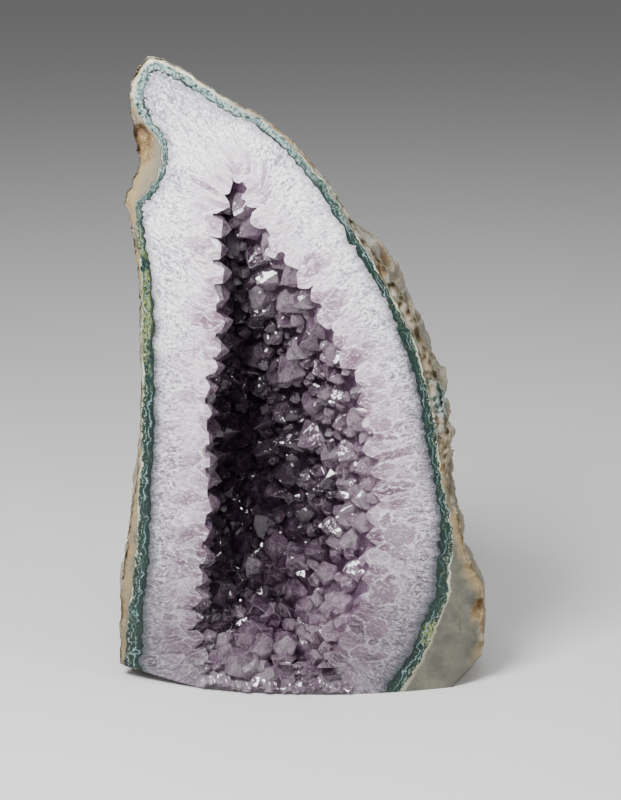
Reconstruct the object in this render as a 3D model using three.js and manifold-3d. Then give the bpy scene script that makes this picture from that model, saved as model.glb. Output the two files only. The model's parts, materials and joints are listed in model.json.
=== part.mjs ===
// An amethyst geode that stands on a sawn base, with a ground and polished cut face at the front.
// From outside to inside it has four minerals that grew one on another:
// the basalt rind, a thin green celadonite and agate band, a thick wall of white quartz,
// and the crust of amethyst points that lines the hollow.
// Millimetres, +X to the right of the cut face, +Y into the stone, +Z up.
// The origin is the middle of the box around the stone, at the level of the sawn base.

import * as THREE from "three";
import { mergeVertices } from "three/addons/utils/BufferGeometryUtils.js";
import Module from "manifold-3d";

const wasm = await Module();
wasm.setup();

// The cut face is slightly crowned from side to side and leans back a little.
const FACE = { y: -62, crownX: 10, crown: 0.0024, lean: Math.tan((3 * Math.PI) / 180) };
const ORIGIN = { x: 1.5, y: 0.1 }; // the middle of the stone's box, in the numbers below
const BLOCK = { halfWidth: 120, back: 130, top: 330, strips: 16 }; // the block that the saw leaves

// The outline of the cut face, from the tip down the left side, round under the base and up the right side.
// Each row is x, z, the width of basalt on the cut face and the width of the green band.
const OUTLINE = [
  [-66.2, 300, 2.0, 4.0],
  [-73, 296, 2.5, 4.0],
  [-76.8, 288, 2.5, 4.0],
  [-77.8, 279, 2.2, 5.0],
  [-76.6, 269, 6.0, 4.0],
  [-74.6, 258, 11.5, 3.0],
  [-74, 250, 10.0, 2.6],
  [-77, 242, 8.0, 3.0],
  [-80.8, 235, 6.5, 3.0],
  [-79, 227, 3.5, 3.0],
  [-76.6, 212, 2.5, 4.0],
  [-74.6, 190, 2.0, 5.5],
  [-74.6, 160, 1.8, 5.6],
  [-75, 130, 1.8, 6.0],
  [-77.4, 104, 2.2, 6.0],
  [-80.5, 80, 3.2, 6.0],
  [-84, 60, 5.5, 6.2],
  [-86, 40, 4.5, 6.5],
  [-87.2, 20, 3.5, 8.0],
  [-86.5, 2, 3.0, 7.5],
  [-80, -30, 12, 7.0],
  [-58, -64, 32, 7.0],
  [-18, -92, 55, 7.0],
  [28, -92, 60, 7.0],
  [62, -66, 52, 7.0],
  [80, -34, 44, 7.0],
  [87.5, -5, 38, 7.0],
  [88.8, 12, 32, 6.0],
  [89, 27, 25.5, 6.5],
  [87.5, 38, 21, 7.0],
  [83, 48, 14.5, 6.0],
  [79.5, 60, 9.0, 6.0],
  [77, 74, 4.2, 5.5],
  [74.5, 86, 3.2, 4.0],
  [71, 100, 2.5, 4.0],
  [69.8, 112, 3.0, 4.2],
  [70.5, 124, 6.0, 4.6],
  [69.5, 136, 6.5, 5.2],
  [65.8, 150, 5.0, 5.6],
  [61.5, 162, 4.5, 6.0],
  [55, 178, 4.0, 5.0],
  [47.5, 193, 3.2, 4.2],
  [38.5, 207, 2.6, 4.6],
  [27.5, 222.5, 1.8, 5.0],
  [16.5, 241, 1.6, 4.8],
  [3, 258, 1.6, 4.6],
  [-15, 274.3, 1.6, 4.0],
  [-30, 281.5, 1.6, 3.8],
  [-45.5, 291, 1.6, 3.6],
  [-57.5, 297.8, 1.8, 3.8],
];

// The mouth of the hollow on the cut face, where the quartz wall ends and the points begin. Each row is x, z.
const MOUTH = [
  [-29, 256],
  [-41, 243],
  [-44, 220],
  [-43, 200],
  [-42, 180],
  [-44, 165],
  [-48, 150],
  [-47, 130],
  [-48, 112],
  [-47, 95],
  [-49, 78],
  [-52, 58],
  [-55, 42],
  [-57, 25],
  [-51, 9],
  [-35, 4],
  [-12, 3.2],
  [10, 4.5],
  [24, 14],
  [32, 32],
  [38, 52],
  [41, 70],
  [43.5, 92],
  [43, 110],
  [40, 125],
  [37, 142],
  [33, 158],
  [24, 172],
  [17, 185],
  [12, 198],
  [5, 209],
  [-6, 219],
  [-13, 232],
  [-19, 246],
];

// How each boundary runs back from the cut face: its middle at the face and at its deepest point,
// the depth of that point, how full the curve is (2 is an ellipse) and how many rings of facets it has.
const ROCK = { middle: [2, 95], end: [2, 92], depth: 126, fullness: 1.9, rings: 8 };
const BAND = { middle: [-5, 110], end: [-5, 104], depth: 98, fullness: 1.8, rings: 4 };
const QUARTZ = { middle: [-5, 110], end: [-5, 104], depth: 92, fullness: 1.8, rings: 4 };
const HOLLOW = { middle: [-2, 120], end: [-26, 108], depth: 80, fullness: 1.55, rings: 5 };

const SIDE_BULGE = { left: 2.5, right: 6, lowestZ: -60, highestZ: 215 };
const LUMPS = { height: 2.3, lift: 0.9, chip: 0.9, fadeIn: 0.16, calmAbove: 215, calmBy: 0.6 };
const GAP = 0.4; // between minerals that touch
const FINENESS = 0.04; // detail smaller than this is left out
const LINING = 4.2; // the layer that the points grow from
const SOFTENING = 12; // passes that wear an outline down
const FORWARD = 24; // how far a boundary runs past the cut face before the saw takes it off

// The sawn base is ground up at its left edge and its lower right corner.
const BASE_BEVELS = [
  { from: [-44, 0], to: [-90, 7] },
  { from: [74, 0], to: [90, 15] },
];

// A scoop in the rock of the upper left notch, and two pits in the weathered right flank.
const PITS = [
  { at: [-76.5, -33, 261], size: [9, 6.5, 11] },
  { at: [66, -22, 176], size: [6, 10, 5] },
  { at: [80, -18, 128], size: [7, 9, 6] },
];

// The points: a row along the mouth that the cut face slices, then the walls behind it.
// Spacing, radius and shoulder height are each from the least to the most, and on the walls
// the spacing runs from the mouth to the deepest place and the radius is a share of it.
const ROOT = 1.6; // how far in front of the wall a point starts, inside the lining
const RIM_POINTS = {
  tries: 400,
  turn: [0.03, 0.06],
  spacing: 10.5,
  radius: [5, 6.6],
  shoulder: [3, 6.5],
  lean: 0.16,
};
const WALL_POINTS = {
  tries: 4000,
  spacing: [11, 15.5],
  radius: [0.54, 0.7],
  shoulder: [2.5, 6],
  lean: 0.22,
};
const SHAPE = { stretch: [0.86, 1.12], slope: 0.25, tipHeight: [1.02, 1.2], sides: 6 };
const POINT_SEED = 20;

// The points on the sill at the bottom of the mouth are whole and stand out past the cut face.
// Each row is x, how far behind the cut face its root is, z, radius, shoulder height and the way it leans.
const SILL_POINTS = [
  [-40, 5, 9, 6.2, 6, [0.25, -0.55, 0.8]],
  [-29, 6, 7, 6.8, 7, [-0.1, -0.6, 0.75]],
  [-17, 5, 6, 6.4, 6, [0.15, -0.75, 0.65]],
  [-6, 7, 7, 7.0, 8, [-0.15, -0.55, 0.8]],
  [5, 6, 8, 6.2, 6, [0.1, -0.6, 0.75]],
  [-23, 15, 9, 7.4, 13, [0.1, -0.4, 0.9]],
  [-34, 14, 11, 6.6, 9, [-0.1, -0.35, 0.9]],
  [-10, 17, 9, 7.0, 11, [0.1, -0.35, 0.95]],
];

const COLOURS = {
  basalt_rind: { color: 0xa1967c, roughness: 0.9 },
  green_band: { color: 0x2f5a52, roughness: 0.35 },
  quartz_wall: { color: 0xd9d2dc, roughness: 0.3 },
  amethyst_crust: { color: 0x7a5f8a, roughness: 0.15 },
};

function seededRandom(seed) {
  let state = seed >>> 0;
  return () => {
    state = (state + 0x6d2b79f5) >>> 0;
    let t = state;
    t = Math.imul(t ^ (t >>> 15), t | 1);
    t ^= t + Math.imul(t ^ (t >>> 7), t | 61);
    return ((t ^ (t >>> 14)) >>> 0) / 4294967296;
  };
}

const lerp = (a, b, t) => a + (b - a) * t;
const between = (range, random) => lerp(range[0], range[1], random());
const eitherWay = (most, random) => most * (2 * random() - 1);
const smooth = (t) => {
  const c = Math.min(1, Math.max(0, t));
  return c * c * (3 - 2 * c);
};

function faceY(x, z) {
  return FACE.y + FACE.crown * (x - FACE.crownX) ** 2 + FACE.lean * z;
}

// Moves each point of a closed outline inwards by its own width.
function inset(outline, width) {
  return outline.map((p, i) => {
    const before = outline[(i - 1 + outline.length) % outline.length];
    const after = outline[(i + 1) % outline.length];
    const along = new THREE.Vector2(after[0] - before[0], after[1] - before[1]).normalize();
    return [p[0] - along.y * width(p), p[1] + along.x * width(p), ...p.slice(2)];
  });
}

// The same outline with its notches and corners worn down, which is the form it has deep in the stone.
function softened(outline) {
  let soft = outline;
  for (let pass = 0; pass < SOFTENING; pass++)
    soft = soft.map(([x, z], i) => {
      const before = soft[(i - 1 + soft.length) % soft.length];
      const after = soft[(i + 1) % soft.length];
      return [(before[0] + 2 * x + after[0]) / 4, (before[1] + 2 * z + after[1]) / 4];
    });
  return soft;
}

// A boundary as a surface: a place along the outline, in points of it, and a turn from the cut face (0)
// to the deepest point (a quarter of a circle).
function boundarySurface(shape, outline) {
  const soft = softened(outline);
  const count = outline.length;
  return (along, turn) => {
    const i = Math.floor(along);
    const [a, b] = [(i + count) % count, (i + 1 + count) % count];
    const [x, z] = [0, 1].map((n) =>
      lerp(
        lerp(outline[a][n], outline[b][n], along - i),
        lerp(soft[a][n], soft[b][n], along - i),
        Math.sin(turn),
      ),
    );
    const back = Math.sin(turn) ** (2 / shape.fullness);
    const spread = Math.cos(turn) ** (2 / shape.fullness);
    return new THREE.Vector3(
      lerp(shape.middle[0], shape.end[0], back) + (x - shape.middle[0]) * spread,
      lerp(faceY(x, z), FACE.y + shape.depth, back),
      lerp(shape.middle[1], shape.end[1], back) + (z - shape.middle[1]) * spread,
    );
  };
}

// The faceted solid inside a boundary, run forward past the cut face and grown by a margin.
// shift moves each point of it.
function boundarySolid(shape, outline, margin = 0, shift = () => {}) {
  const count = outline.length;
  const surface = boundarySurface(shape, outline);
  const rings = [];
  for (let r = 0; r < shape.rings; r++) {
    const turn = (r / shape.rings) * (Math.PI / 2);
    rings.push(outline.map((_, i) => surface(i, turn)));
  }
  const pole = surface(0, Math.PI / 2);
  rings.forEach((ring, r) => ring.forEach((p, i) => shift(p, r / shape.rings, outline[i])));
  shift(pole, 1, outline[0]);
  rings.unshift(rings[0].map((p) => new THREE.Vector3(p.x, FACE.y - FORWARD, p.z)));

  const positions = rings.flat();
  const front = positions.push(new THREE.Vector3(shape.middle[0], FACE.y - FORWARD, shape.middle[1])) - 1;
  const back = positions.push(pole) - 1;
  const faces = [];
  for (let i = 0; i < count; i++) {
    const next = (i + 1) % count;
    faces.push([front, i, next]);
    for (let r = 0; r + 1 < rings.length; r++) {
      const [a, b, c, d] = [r * count + i, r * count + next, (r + 1) * count + next, (r + 1) * count + i];
      faces.push([a, d, c], [a, c, b]);
    }
    const last = (rings.length - 1) * count;
    faces.push([last + i, back, last + next]);
  }
  if (margin !== 0) grow(positions, faces, margin);
  return solidFrom(positions, faces);
}

// Moves every point of a closed surface out along its normal.
function grow(positions, faces, margin) {
  const geometry = new THREE.BufferGeometry().setFromPoints(positions);
  geometry.setIndex(faces.flat());
  geometry.computeVertexNormals();
  const normal = new THREE.Vector3();
  positions.forEach((p, i) => {
    normal.fromBufferAttribute(geometry.attributes.normal, i);
    p.addScaledVector(normal, margin);
  });
}

function solidFrom(positions, faces) {
  return new wasm.Manifold(
    new wasm.Mesh({
      numProp: 3,
      vertProperties: new Float32Array(positions.flatMap((p) => [p.x, p.y, p.z])),
      triVerts: new Uint32Array(faces.flat()),
    }),
  );
}

function solidFromGeometry(geometry) {
  const bare = geometry.clone();
  bare.deleteAttribute("normal");
  bare.deleteAttribute("uv");
  const merged = mergeVertices(bare, 1e-4);
  return new wasm.Manifold(
    new wasm.Mesh({
      numProp: 3,
      vertProperties: new Float32Array(merged.attributes.position.array),
      triVerts: new Uint32Array(merged.index.array),
    }),
  );
}

// What the saw leaves: everything behind the crowned cut face and above the sawn base.
function sawnBlock() {
  const plan = new THREE.Shape();
  plan.moveTo(-BLOCK.halfWidth, BLOCK.back);
  for (let k = 0; k <= BLOCK.strips; k++) {
    const x = lerp(-BLOCK.halfWidth, BLOCK.halfWidth, k / BLOCK.strips);
    plan.lineTo(x, faceY(x, 0));
  }
  plan.lineTo(BLOCK.halfWidth, BLOCK.back);
  const block = new THREE.ExtrudeGeometry(plan, { depth: BLOCK.top, bevelEnabled: false });
  block.applyMatrix4(new THREE.Matrix4().makeShear(0, 0, 0, 0, 0, FACE.lean));
  return BASE_BEVELS.reduce((left, bevel) => left.subtract(bevelWedge(bevel)), solidFromGeometry(block));
}

function bevelWedge({ from, to }) {
  const below = -10;
  const past = [0, 1].map((n) => lerp(from[n], to[n], 2)); // beyond the bevel's upper end
  const wedge = new THREE.Shape();
  wedge.moveTo(...from);
  wedge.lineTo(...past);
  wedge.lineTo(past[0], below);
  wedge.lineTo(from[0], below);
  const geometry = new THREE.ExtrudeGeometry(wedge, { depth: 2 * BLOCK.back, bevelEnabled: false });
  geometry.rotateX(Math.PI / 2).translate(0, BLOCK.back, 0);
  return solidFromGeometry(geometry);
}

// Moves a point of the rock, which came from place x, z of the outline: out to its bulging flanks,
// then by lumps and chips that fade towards the cut face.
function weather(p, back, [x, z]) {
  const flank = x > 0 ? SIDE_BULGE.right * smooth((x - 22) / 34) : SIDE_BULGE.left * smooth(-x / 40);
  const tall = smooth((SIDE_BULGE.highestZ - z) / 30) * smooth((z - SIDE_BULGE.lowestZ) / 40);
  p.x += Math.sign(x) * flank * tall * Math.sin(Math.PI * Math.min(1, back * 1.25));
  const lump =
    Math.sin(p.x * 0.085 + 1.1) * Math.cos(p.z * 0.072 + p.y * 0.05) +
    0.6 * Math.sin(p.z * 0.16 + p.x * 0.09 + 0.4) * Math.sin(p.y * 0.13 + 0.8);
  const chip = Math.sin(p.x * 0.31 + p.z * 0.23) * Math.sin(p.y * 0.27 - p.z * 0.19 + 1.7);
  const calm = 1 - LUMPS.calmBy * smooth((p.z - LUMPS.calmAbove) / 40);
  const fade = calm * smooth(back / LUMPS.fadeIn);
  const out = new THREE.Vector3(p.x - ROCK.middle[0], (p.y - FACE.y) * 0.6, p.z - ROCK.middle[1]).normalize();
  p.addScaledVector(out, fade * (LUMPS.height * lump + LUMPS.lift + LUMPS.chip * chip));
}

function pitSolid({ at, size }) {
  const pit = new THREE.IcosahedronGeometry(1, 1);
  pit.scale(...size).translate(...at);
  return solidFromGeometry(pit);
}

// The wall of the hollow at a place and a turn, with the way in from it.
function wallAt(surface, along, turn) {
  const point = surface(along, turn);
  const step = 0.02;
  const sideways = surface(along + 1, turn).sub(surface(along - 1, turn));
  const deeper = surface(along, Math.min(Math.PI / 2, turn + step));
  const inwards = deeper.sub(surface(along, Math.max(0, turn - step)));
  return { point, normal: sideways.cross(inwards).normalize() };
}

// A six-sided quartz point from its root in the lining up +Z, with a tip that sits a little to one side.
function quartzPoint(radius, shoulder, random) {
  const { sides } = SHAPE;
  const stretch = between(SHAPE.stretch, random);
  const slope = [eitherWay(SHAPE.slope, random), eitherWay(SHAPE.slope, random)];
  const ring = (height) =>
    Array.from({ length: sides }, (_, k) => {
      const angle = (k / sides) * Math.PI * 2;
      const x = radius * stretch * Math.cos(angle);
      const y = (radius / stretch) * Math.sin(angle);
      return new THREE.Vector3(x, y, height(x, y));
    });
  const tipZ = shoulder + radius * between(SHAPE.tipHeight, random);
  const positions = [
    ...ring(() => ROOT),
    ...ring((x, y) => shoulder + slope[0] * x + slope[1] * y),
    new THREE.Vector3(0, 0, ROOT),
    new THREE.Vector3(-slope[0] * radius * 0.3, -slope[1] * radius * 0.3, tipZ),
  ];
  const [bottom, top] = [2 * sides, 2 * sides + 1];
  const faces = [];
  for (let k = 0; k < sides; k++) {
    const n = (k + 1) % sides;
    faces.push([bottom, n, k], [k, n, sides + n], [k, sides + n, sides + k], [sides + k, sides + n, top]);
  }
  return { positions, faces };
}

function placedPoint({ point, normal }, radius, shoulder, lean, random) {
  const { positions, faces } = quartzPoint(radius, shoulder, random);
  const up = new THREE.Vector3(0, 0, 1);
  const spin = new THREE.Quaternion().setFromAxisAngle(up, random() * Math.PI);
  const aside = new THREE.Vector3(...[0, 1, 2].map(() => eitherWay(lean, random)));
  const turn = new THREE.Quaternion().setFromUnitVectors(up, aside.add(normal).normalize());
  positions.forEach((p) => p.applyQuaternion(spin).applyQuaternion(turn).add(point));
  return solidFrom(positions, faces);
}

// Every point of the crust: those that the cut face slices, and the whole ones on the sill.
function crustPoints(mouth) {
  const surface = boundarySurface(HOLLOW, mouth);
  const random = seededRandom(POINT_SEED);
  const roots = [];
  const isFree = (point, spacing) => roots.every((r) => r.distanceTo(point) > spacing);
  const plant = (root, ...size) => {
    roots.push(root.point);
    return placedPoint(root, ...size, random);
  };
  const whole = SILL_POINTS.map(([x, back, z, radius, shoulder, way]) => {
    const root = { point: new THREE.Vector3(x, faceY(x, z) + back, z), normal: new THREE.Vector3(...way) };
    return plant(root, radius, shoulder, 0);
  });
  const sliced = [];
  for (let k = 0; k < RIM_POINTS.tries; k++) {
    const along = (k / RIM_POINTS.tries) * mouth.length;
    const root = wallAt(surface, along, between(RIM_POINTS.turn, random));
    if (!isFree(root.point, RIM_POINTS.spacing)) continue;
    const radius = between(RIM_POINTS.radius, random);
    sliced.push(plant(root, radius, between(RIM_POINTS.shoulder, random), RIM_POINTS.lean));
  }
  for (let k = 0; k < WALL_POINTS.tries; k++) {
    const turn = Math.asin(Math.sqrt(random()));
    const root = wallAt(surface, random() * mouth.length, turn);
    const spacing = lerp(...WALL_POINTS.spacing, Math.sin(turn) ** 2);
    if (!isFree(root.point, spacing)) continue;
    const radius = spacing * between(WALL_POINTS.radius, random);
    sliced.push(plant(root, radius, between(WALL_POINTS.shoulder, random), WALL_POINTS.lean));
  }
  return { sliced, whole };
}

// The largest piece of a solid, without the slivers that the cuts leave.
function largestPiece(solid) {
  const pieces = solid.asOriginal().simplify(FINENESS).decompose();
  return pieces.reduce((a, b) => (b.volume() > a.volume() ? b : a));
}

function meshOf(name, solid) {
  const { vertProperties, triVerts, numProp } = largestPiece(solid).getMesh();
  const positions = new Float32Array((vertProperties.length / numProp) * 3);
  for (let i = 0; i * numProp < vertProperties.length; i++) {
    const [x, y, z] = vertProperties.subarray(i * numProp, i * numProp + 3);
    positions.set([x - ORIGIN.x, y - ORIGIN.y, z], i * 3);
  }
  const geometry = new THREE.BufferGeometry();
  geometry.setAttribute("position", new THREE.BufferAttribute(positions, 3));
  geometry.setIndex(new THREE.BufferAttribute(new Uint32Array(triVerts), 1));
  geometry.computeVertexNormals();
  const material = new THREE.MeshStandardMaterial({ metalness: 0, ...COLOURS[name] });
  const mesh = new THREE.Mesh(geometry, material);
  mesh.name = name;
  return mesh;
}

const block = sawnBlock();
const bandOutline = inset(OUTLINE, (row) => row[2]);
const quartzOutline = inset(bandOutline, (row) => row[3]);

const rock = boundarySolid(ROCK, OUTLINE, 0, weather);
const rind = PITS.reduce((left, pit) => left.subtract(pitSolid(pit)), rock)
  .intersect(block)
  .subtract(boundarySolid(BAND, bandOutline, GAP));
const band = boundarySolid(BAND, bandOutline)
  .intersect(block)
  .subtract(boundarySolid(QUARTZ, quartzOutline, GAP));
const wall = boundarySolid(QUARTZ, quartzOutline).intersect(block).subtract(boundarySolid(HOLLOW, MOUTH));

const points = crustPoints(MOUTH);
const hollow = boundarySolid(HOLLOW, MOUTH, -GAP);
const lining = hollow.subtract(boundarySolid(HOLLOW, MOUTH, -LINING));
const crust = wasm.Manifold.union([lining, ...points.sliced])
  .intersect(block)
  .add(wasm.Manifold.union(points.whole))
  .intersect(hollow);

const geode = new THREE.Group();
const solids = { basalt_rind: rind, green_band: band, quartz_wall: wall, amethyst_crust: crust };
for (const [name, solid] of Object.entries(solids)) geode.add(meshOf(name, solid));

export default geode;
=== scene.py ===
import json
import math
import bpy
import bmesh
import numpy as np
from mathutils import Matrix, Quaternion, Vector, kdtree, noise

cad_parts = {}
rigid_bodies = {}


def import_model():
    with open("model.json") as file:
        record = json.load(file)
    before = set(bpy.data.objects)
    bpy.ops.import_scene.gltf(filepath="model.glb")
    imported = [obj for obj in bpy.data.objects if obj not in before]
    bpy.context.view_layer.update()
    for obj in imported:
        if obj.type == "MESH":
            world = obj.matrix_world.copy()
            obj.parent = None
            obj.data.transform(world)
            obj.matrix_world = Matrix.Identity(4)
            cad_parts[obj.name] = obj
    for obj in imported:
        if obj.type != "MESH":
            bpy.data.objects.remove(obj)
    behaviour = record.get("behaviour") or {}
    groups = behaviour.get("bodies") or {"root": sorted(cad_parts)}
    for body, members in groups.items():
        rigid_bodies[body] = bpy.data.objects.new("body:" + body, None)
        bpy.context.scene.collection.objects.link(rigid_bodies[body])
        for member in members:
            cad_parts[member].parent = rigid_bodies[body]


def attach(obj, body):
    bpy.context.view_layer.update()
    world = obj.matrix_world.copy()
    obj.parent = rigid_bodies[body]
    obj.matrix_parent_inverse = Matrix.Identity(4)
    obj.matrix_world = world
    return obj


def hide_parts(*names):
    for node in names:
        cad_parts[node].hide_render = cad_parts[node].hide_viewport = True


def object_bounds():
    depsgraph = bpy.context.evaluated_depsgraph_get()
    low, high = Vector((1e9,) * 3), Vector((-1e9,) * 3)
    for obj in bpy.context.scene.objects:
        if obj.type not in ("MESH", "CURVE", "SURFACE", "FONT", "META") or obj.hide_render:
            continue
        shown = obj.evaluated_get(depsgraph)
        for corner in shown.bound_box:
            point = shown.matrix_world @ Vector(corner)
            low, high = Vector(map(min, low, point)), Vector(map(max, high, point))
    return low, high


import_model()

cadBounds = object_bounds()

# Lengths are in millimetres, in the stone's own numbers, until a mesh is made.
mm = 0.001
stoneCentre = {"x": 1.5, "y": 0.1}

# The cut face is slightly crowned from side to side and leans back a little.
cutFace = {"y": -62.0, "crownX": 10.0, "crown": 0.0024, "lean": math.tan(math.radians(3))}

# The outline of the cut face from the tip down the left, under the base and up the right.
# Each row is x, z, the width of basalt on the cut face and the width of the green band.
stoneOutline = [
    (-66.2, 300, 2.0, 4.0), (-73, 296, 2.5, 4.0), (-76.8, 288, 2.5, 4.0), (-77.8, 279, 2.2, 5.0),
    (-76.6, 269, 6.0, 4.0), (-74.6, 258, 11.5, 3.0), (-74, 250, 10.0, 2.6), (-77, 242, 8.0, 3.0),
    (-80.8, 235, 6.5, 3.0), (-79, 227, 3.5, 3.0), (-76.6, 212, 1.8, 4.0), (-74.6, 190, 1.3, 5.2),
    (-74.6, 160, 0.9, 5.4), (-75, 130, 0.9, 5.8), (-77.4, 104, 1.6, 5.8), (-80.5, 80, 3.2, 6.0),
    (-84, 60, 5.5, 6.2), (-86, 40, 4.5, 6.5), (-87.2, 20, 3.5, 8.0), (-86.5, 2, 3.0, 7.5),
    (-80, -30, 12, 7.0), (-58, -64, 32, 7.0), (-18, -92, 55, 7.0), (28, -92, 60, 7.0),
    (62, -66, 52, 7.0), (80, -34, 44, 7.0), (87.5, -5, 38, 7.0), (88.8, 12, 31.5, 6.0),
    (89, 27, 25, 6.5), (89, 40, 20.5, 6.5), (88, 51, 17, 6.5), (82.2, 60.5, 10.8, 6.5),
    (78.4, 74, 5.3, 6.5), (75.4, 86, 3.7, 4.5), (71.2, 100, 2.8, 3.5), (69.8, 112, 3.4, 3.7),
    (70.5, 124, 5.4, 5.2), (69.5, 136, 6.2, 4.9), (65.8, 150, 6.4, 3.7), (61.5, 162, 4.8, 4.2),
    (55, 178, 4.1, 4.6), (47.5, 193, 4.4, 2.9), (38.5, 207, 3.0, 3.6), (27.5, 222.5, 1.7, 3.6),
    (16.5, 241, 1.6, 3.8), (3, 258, 1.6, 3.8), (-15, 274.3, 1.6, 3.6), (-30, 281.5, 1.6, 3.6),
    (-45.5, 291, 1.6, 3.6), (-57.5, 297.8, 1.8, 3.8),
]

# The mouth of the hollow on the cut face, where the quartz ends and the points begin: x, z.
mouthOutline = [
    (-29, 256), (-41, 243), (-44, 220), (-43, 200), (-42, 180), (-44, 165), (-48, 150), (-47, 130),
    (-48, 112), (-47, 95), (-49, 78), (-52, 58), (-55, 42), (-57, 25), (-51, 9), (-35, 4),
    (-12, 3.2), (10, 4.5), (24, 14), (32, 32), (38, 52), (41, 70), (43.5, 92), (43, 110),
    (40, 125), (37, 142), (33, 158), (24, 172), (17, 185), (12, 198), (5, 209), (-6, 219),
    (-13, 232), (-19, 246),
]

# How each boundary runs back from the cut face: its middle at the face and at its deepest point,
# the depth of that point and how full the curve is (2 is an ellipse).
rockForm = {"middle": (2, 95), "end": (2, 92), "depth": 126, "fullness": 1.9}
bandForm = {"middle": (-5, 110), "end": (-5, 104), "depth": 98, "fullness": 1.8}
quartzForm = {"middle": (-5, 110), "end": (-5, 104), "depth": 92, "fullness": 1.8}
hollowForm = {"middle": (-2, 120), "end": (-26, 108), "depth": 80, "fullness": 1.55}
softening = 12          # passes of smoothing that an outline has lost deep in the stone, per row

baseBevels = [((-44, 0), (-90, 7)), ((74, 0), (90, 15))]


def lerp(a, b, t):
    return a + (b - a) * t


def smooth(t):
    t = np.clip(t, 0, 1)
    return t * t * (3 - 2 * t)


def faceY(x, z):
    return cutFace["y"] + cutFace["crown"] * (x - cutFace["crownX"]) ** 2 + cutFace["lean"] * z


def insetRows(rows, widthColumn):
    moved = []
    for i, row in enumerate(rows):
        before, after = rows[i - 1], rows[(i + 1) % len(rows)]
        along = Vector((after[0] - before[0], after[1] - before[1])).normalized()
        width = row[widthColumn]
        moved.append((row[0] - along.y * width, row[1] + along.x * width) + tuple(row[2:]))
    return moved


def curveThrough(rows, perRow):
    # a closed Catmull-Rom curve with perRow points after each row
    rows = np.array([row[:2] for row in rows], float)
    a, b, c, d = (np.roll(rows, 1 - k, axis=0) for k in range(4))
    parts = []
    for k in range(perRow):
        t = k / perRow
        parts.append(0.5 * (2 * b + (c - a) * t + (2 * a - 5 * b + 4 * c - d) * t ** 2
                            + (3 * b - a - 3 * c + d) * t ** 3))
    return np.stack(parts, axis=1).reshape(-1, 2)


def evenly(points, count):
    # the same closed curve with points at even steps along it, from the same start
    closed = np.vstack([points, points[:1]])
    length = np.concatenate([[0], np.cumsum(np.linalg.norm(np.diff(closed, axis=0), axis=1))])
    want = np.arange(count) / count * length[-1]
    return np.stack([np.interp(want, length, closed[:, k]) for k in (0, 1)], axis=1)


def normalsOf(points):
    along = np.roll(points, -1, axis=0) - np.roll(points, 1, axis=0)
    along /= np.linalg.norm(along, axis=1)[:, None]
    return np.stack([along[:, 1], -along[:, 0]], axis=1)      # out of the stone


def softened(points, perRow):
    count = len(points)
    spread = math.sqrt(softening * 0.5) * perRow
    steps = np.minimum(np.arange(count), count - np.arange(count))
    kernel = np.exp(-0.5 * (steps / spread) ** 2)
    kernel /= kernel.sum()
    spectrum = np.fft.rfft(kernel)
    return np.stack([np.fft.irfft(np.fft.rfft(points[:, k]) * spectrum, count) for k in (0, 1)], axis=1)


def ripple(count, seed, parts):
    # a wave round a closed outline: parts are (number of waves from, to, how many, height)
    draw = np.random.default_rng(seed)
    u = np.arange(count) / count * 2 * math.pi
    total = np.zeros(count)
    for low, high, number, height in parts:
        for waves in draw.integers(low, high, number):
            total += height / math.sqrt(number) * np.sin(waves * u + draw.uniform(0, 6.28))
    return total


def lobes(count, seed, number, height):
    # rounded lobes of uneven width that bulge in from a closed outline
    draw = np.random.default_rng(seed)
    widths = draw.uniform(0.5, 1.6, number)
    edges = np.concatenate([[0], np.cumsum(widths)]) / widths.sum()
    heights = draw.uniform(0.35, 1.0, number) * height
    u = np.arange(count) / count
    at = np.searchsorted(edges, u, side="right") - 1
    part = (u - edges[at]) / (edges[at + 1] - edges[at])
    return heights[at] * (np.sqrt(np.clip(1 - (2 * part - 1) ** 2, 0, 1)) - 0.6)


def surfaceRing(form, line, turn):
    # the boundary that starts as a line on the cut face, at a turn from there (0) to its deepest point
    ring = lerp(line[0], line[1], math.sin(turn))
    back = math.sin(turn) ** (2 / form["fullness"])
    spread = max(math.cos(turn), 0) ** (2 / form["fullness"])
    middle, end = np.array(form["middle"], float), np.array(form["end"], float)
    flat = lerp(middle, end, back) + (ring - middle) * spread
    y = lerp(faceY(ring[:, 0], ring[:, 1]), cutFace["y"] + form["depth"], back)
    return np.stack([flat[:, 0], y, flat[:, 1]], axis=1)


def turnsTo(count, bias=1.25):
    return [math.pi / 2 * (k / count) ** bias for k in range(count)]


def layerGrid(outerForm, outer, innerForm, inner, rings, faceRows):
    # rows of points from the outer surface's deepest point, over the cut face, to the inner one's
    rows, onFace = [], []
    for turn in reversed(turnsTo(rings[0])):
        rows.append(surfaceRing(outerForm, outer, turn))
        onFace.append(0)
    for k in range(1, faceRows):
        flat = lerp(outer[0], inner[0], k / faceRows)
        rows.append(np.stack([flat[:, 0], faceY(flat[:, 0], flat[:, 1]), flat[:, 1]], axis=1))
        onFace.append(k / faceRows)
    for turn in turnsTo(rings[1]):
        rows.append(surfaceRing(innerForm, inner, turn))
        onFace.append(1)
    poles = [surfaceRing(form, line, math.pi / 2)[:1] for form, line in
             ((outerForm, outer), (innerForm, inner))]
    return np.array(rows), np.array(onFace), poles


def gridFaces(rowCount, count):
    faces = []
    for r in range(rowCount - 1):
        a, b = r * count, (r + 1) * count
        faces += [(a + i, b + i, b + (i + 1) % count, a + (i + 1) % count) for i in range(count)]
    first, last = rowCount * count, rowCount * count + 1
    faces += [(first, i, (i + 1) % count) for i in range(count)]
    end = (rowCount - 1) * count
    faces += [(last, end + (i + 1) % count, end + i) for i in range(count)]
    return faces


def toMetres(points):
    moved = np.array(points, float) - np.array([stoneCentre["x"], stoneCentre["y"], 0])
    return moved * mm


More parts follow.
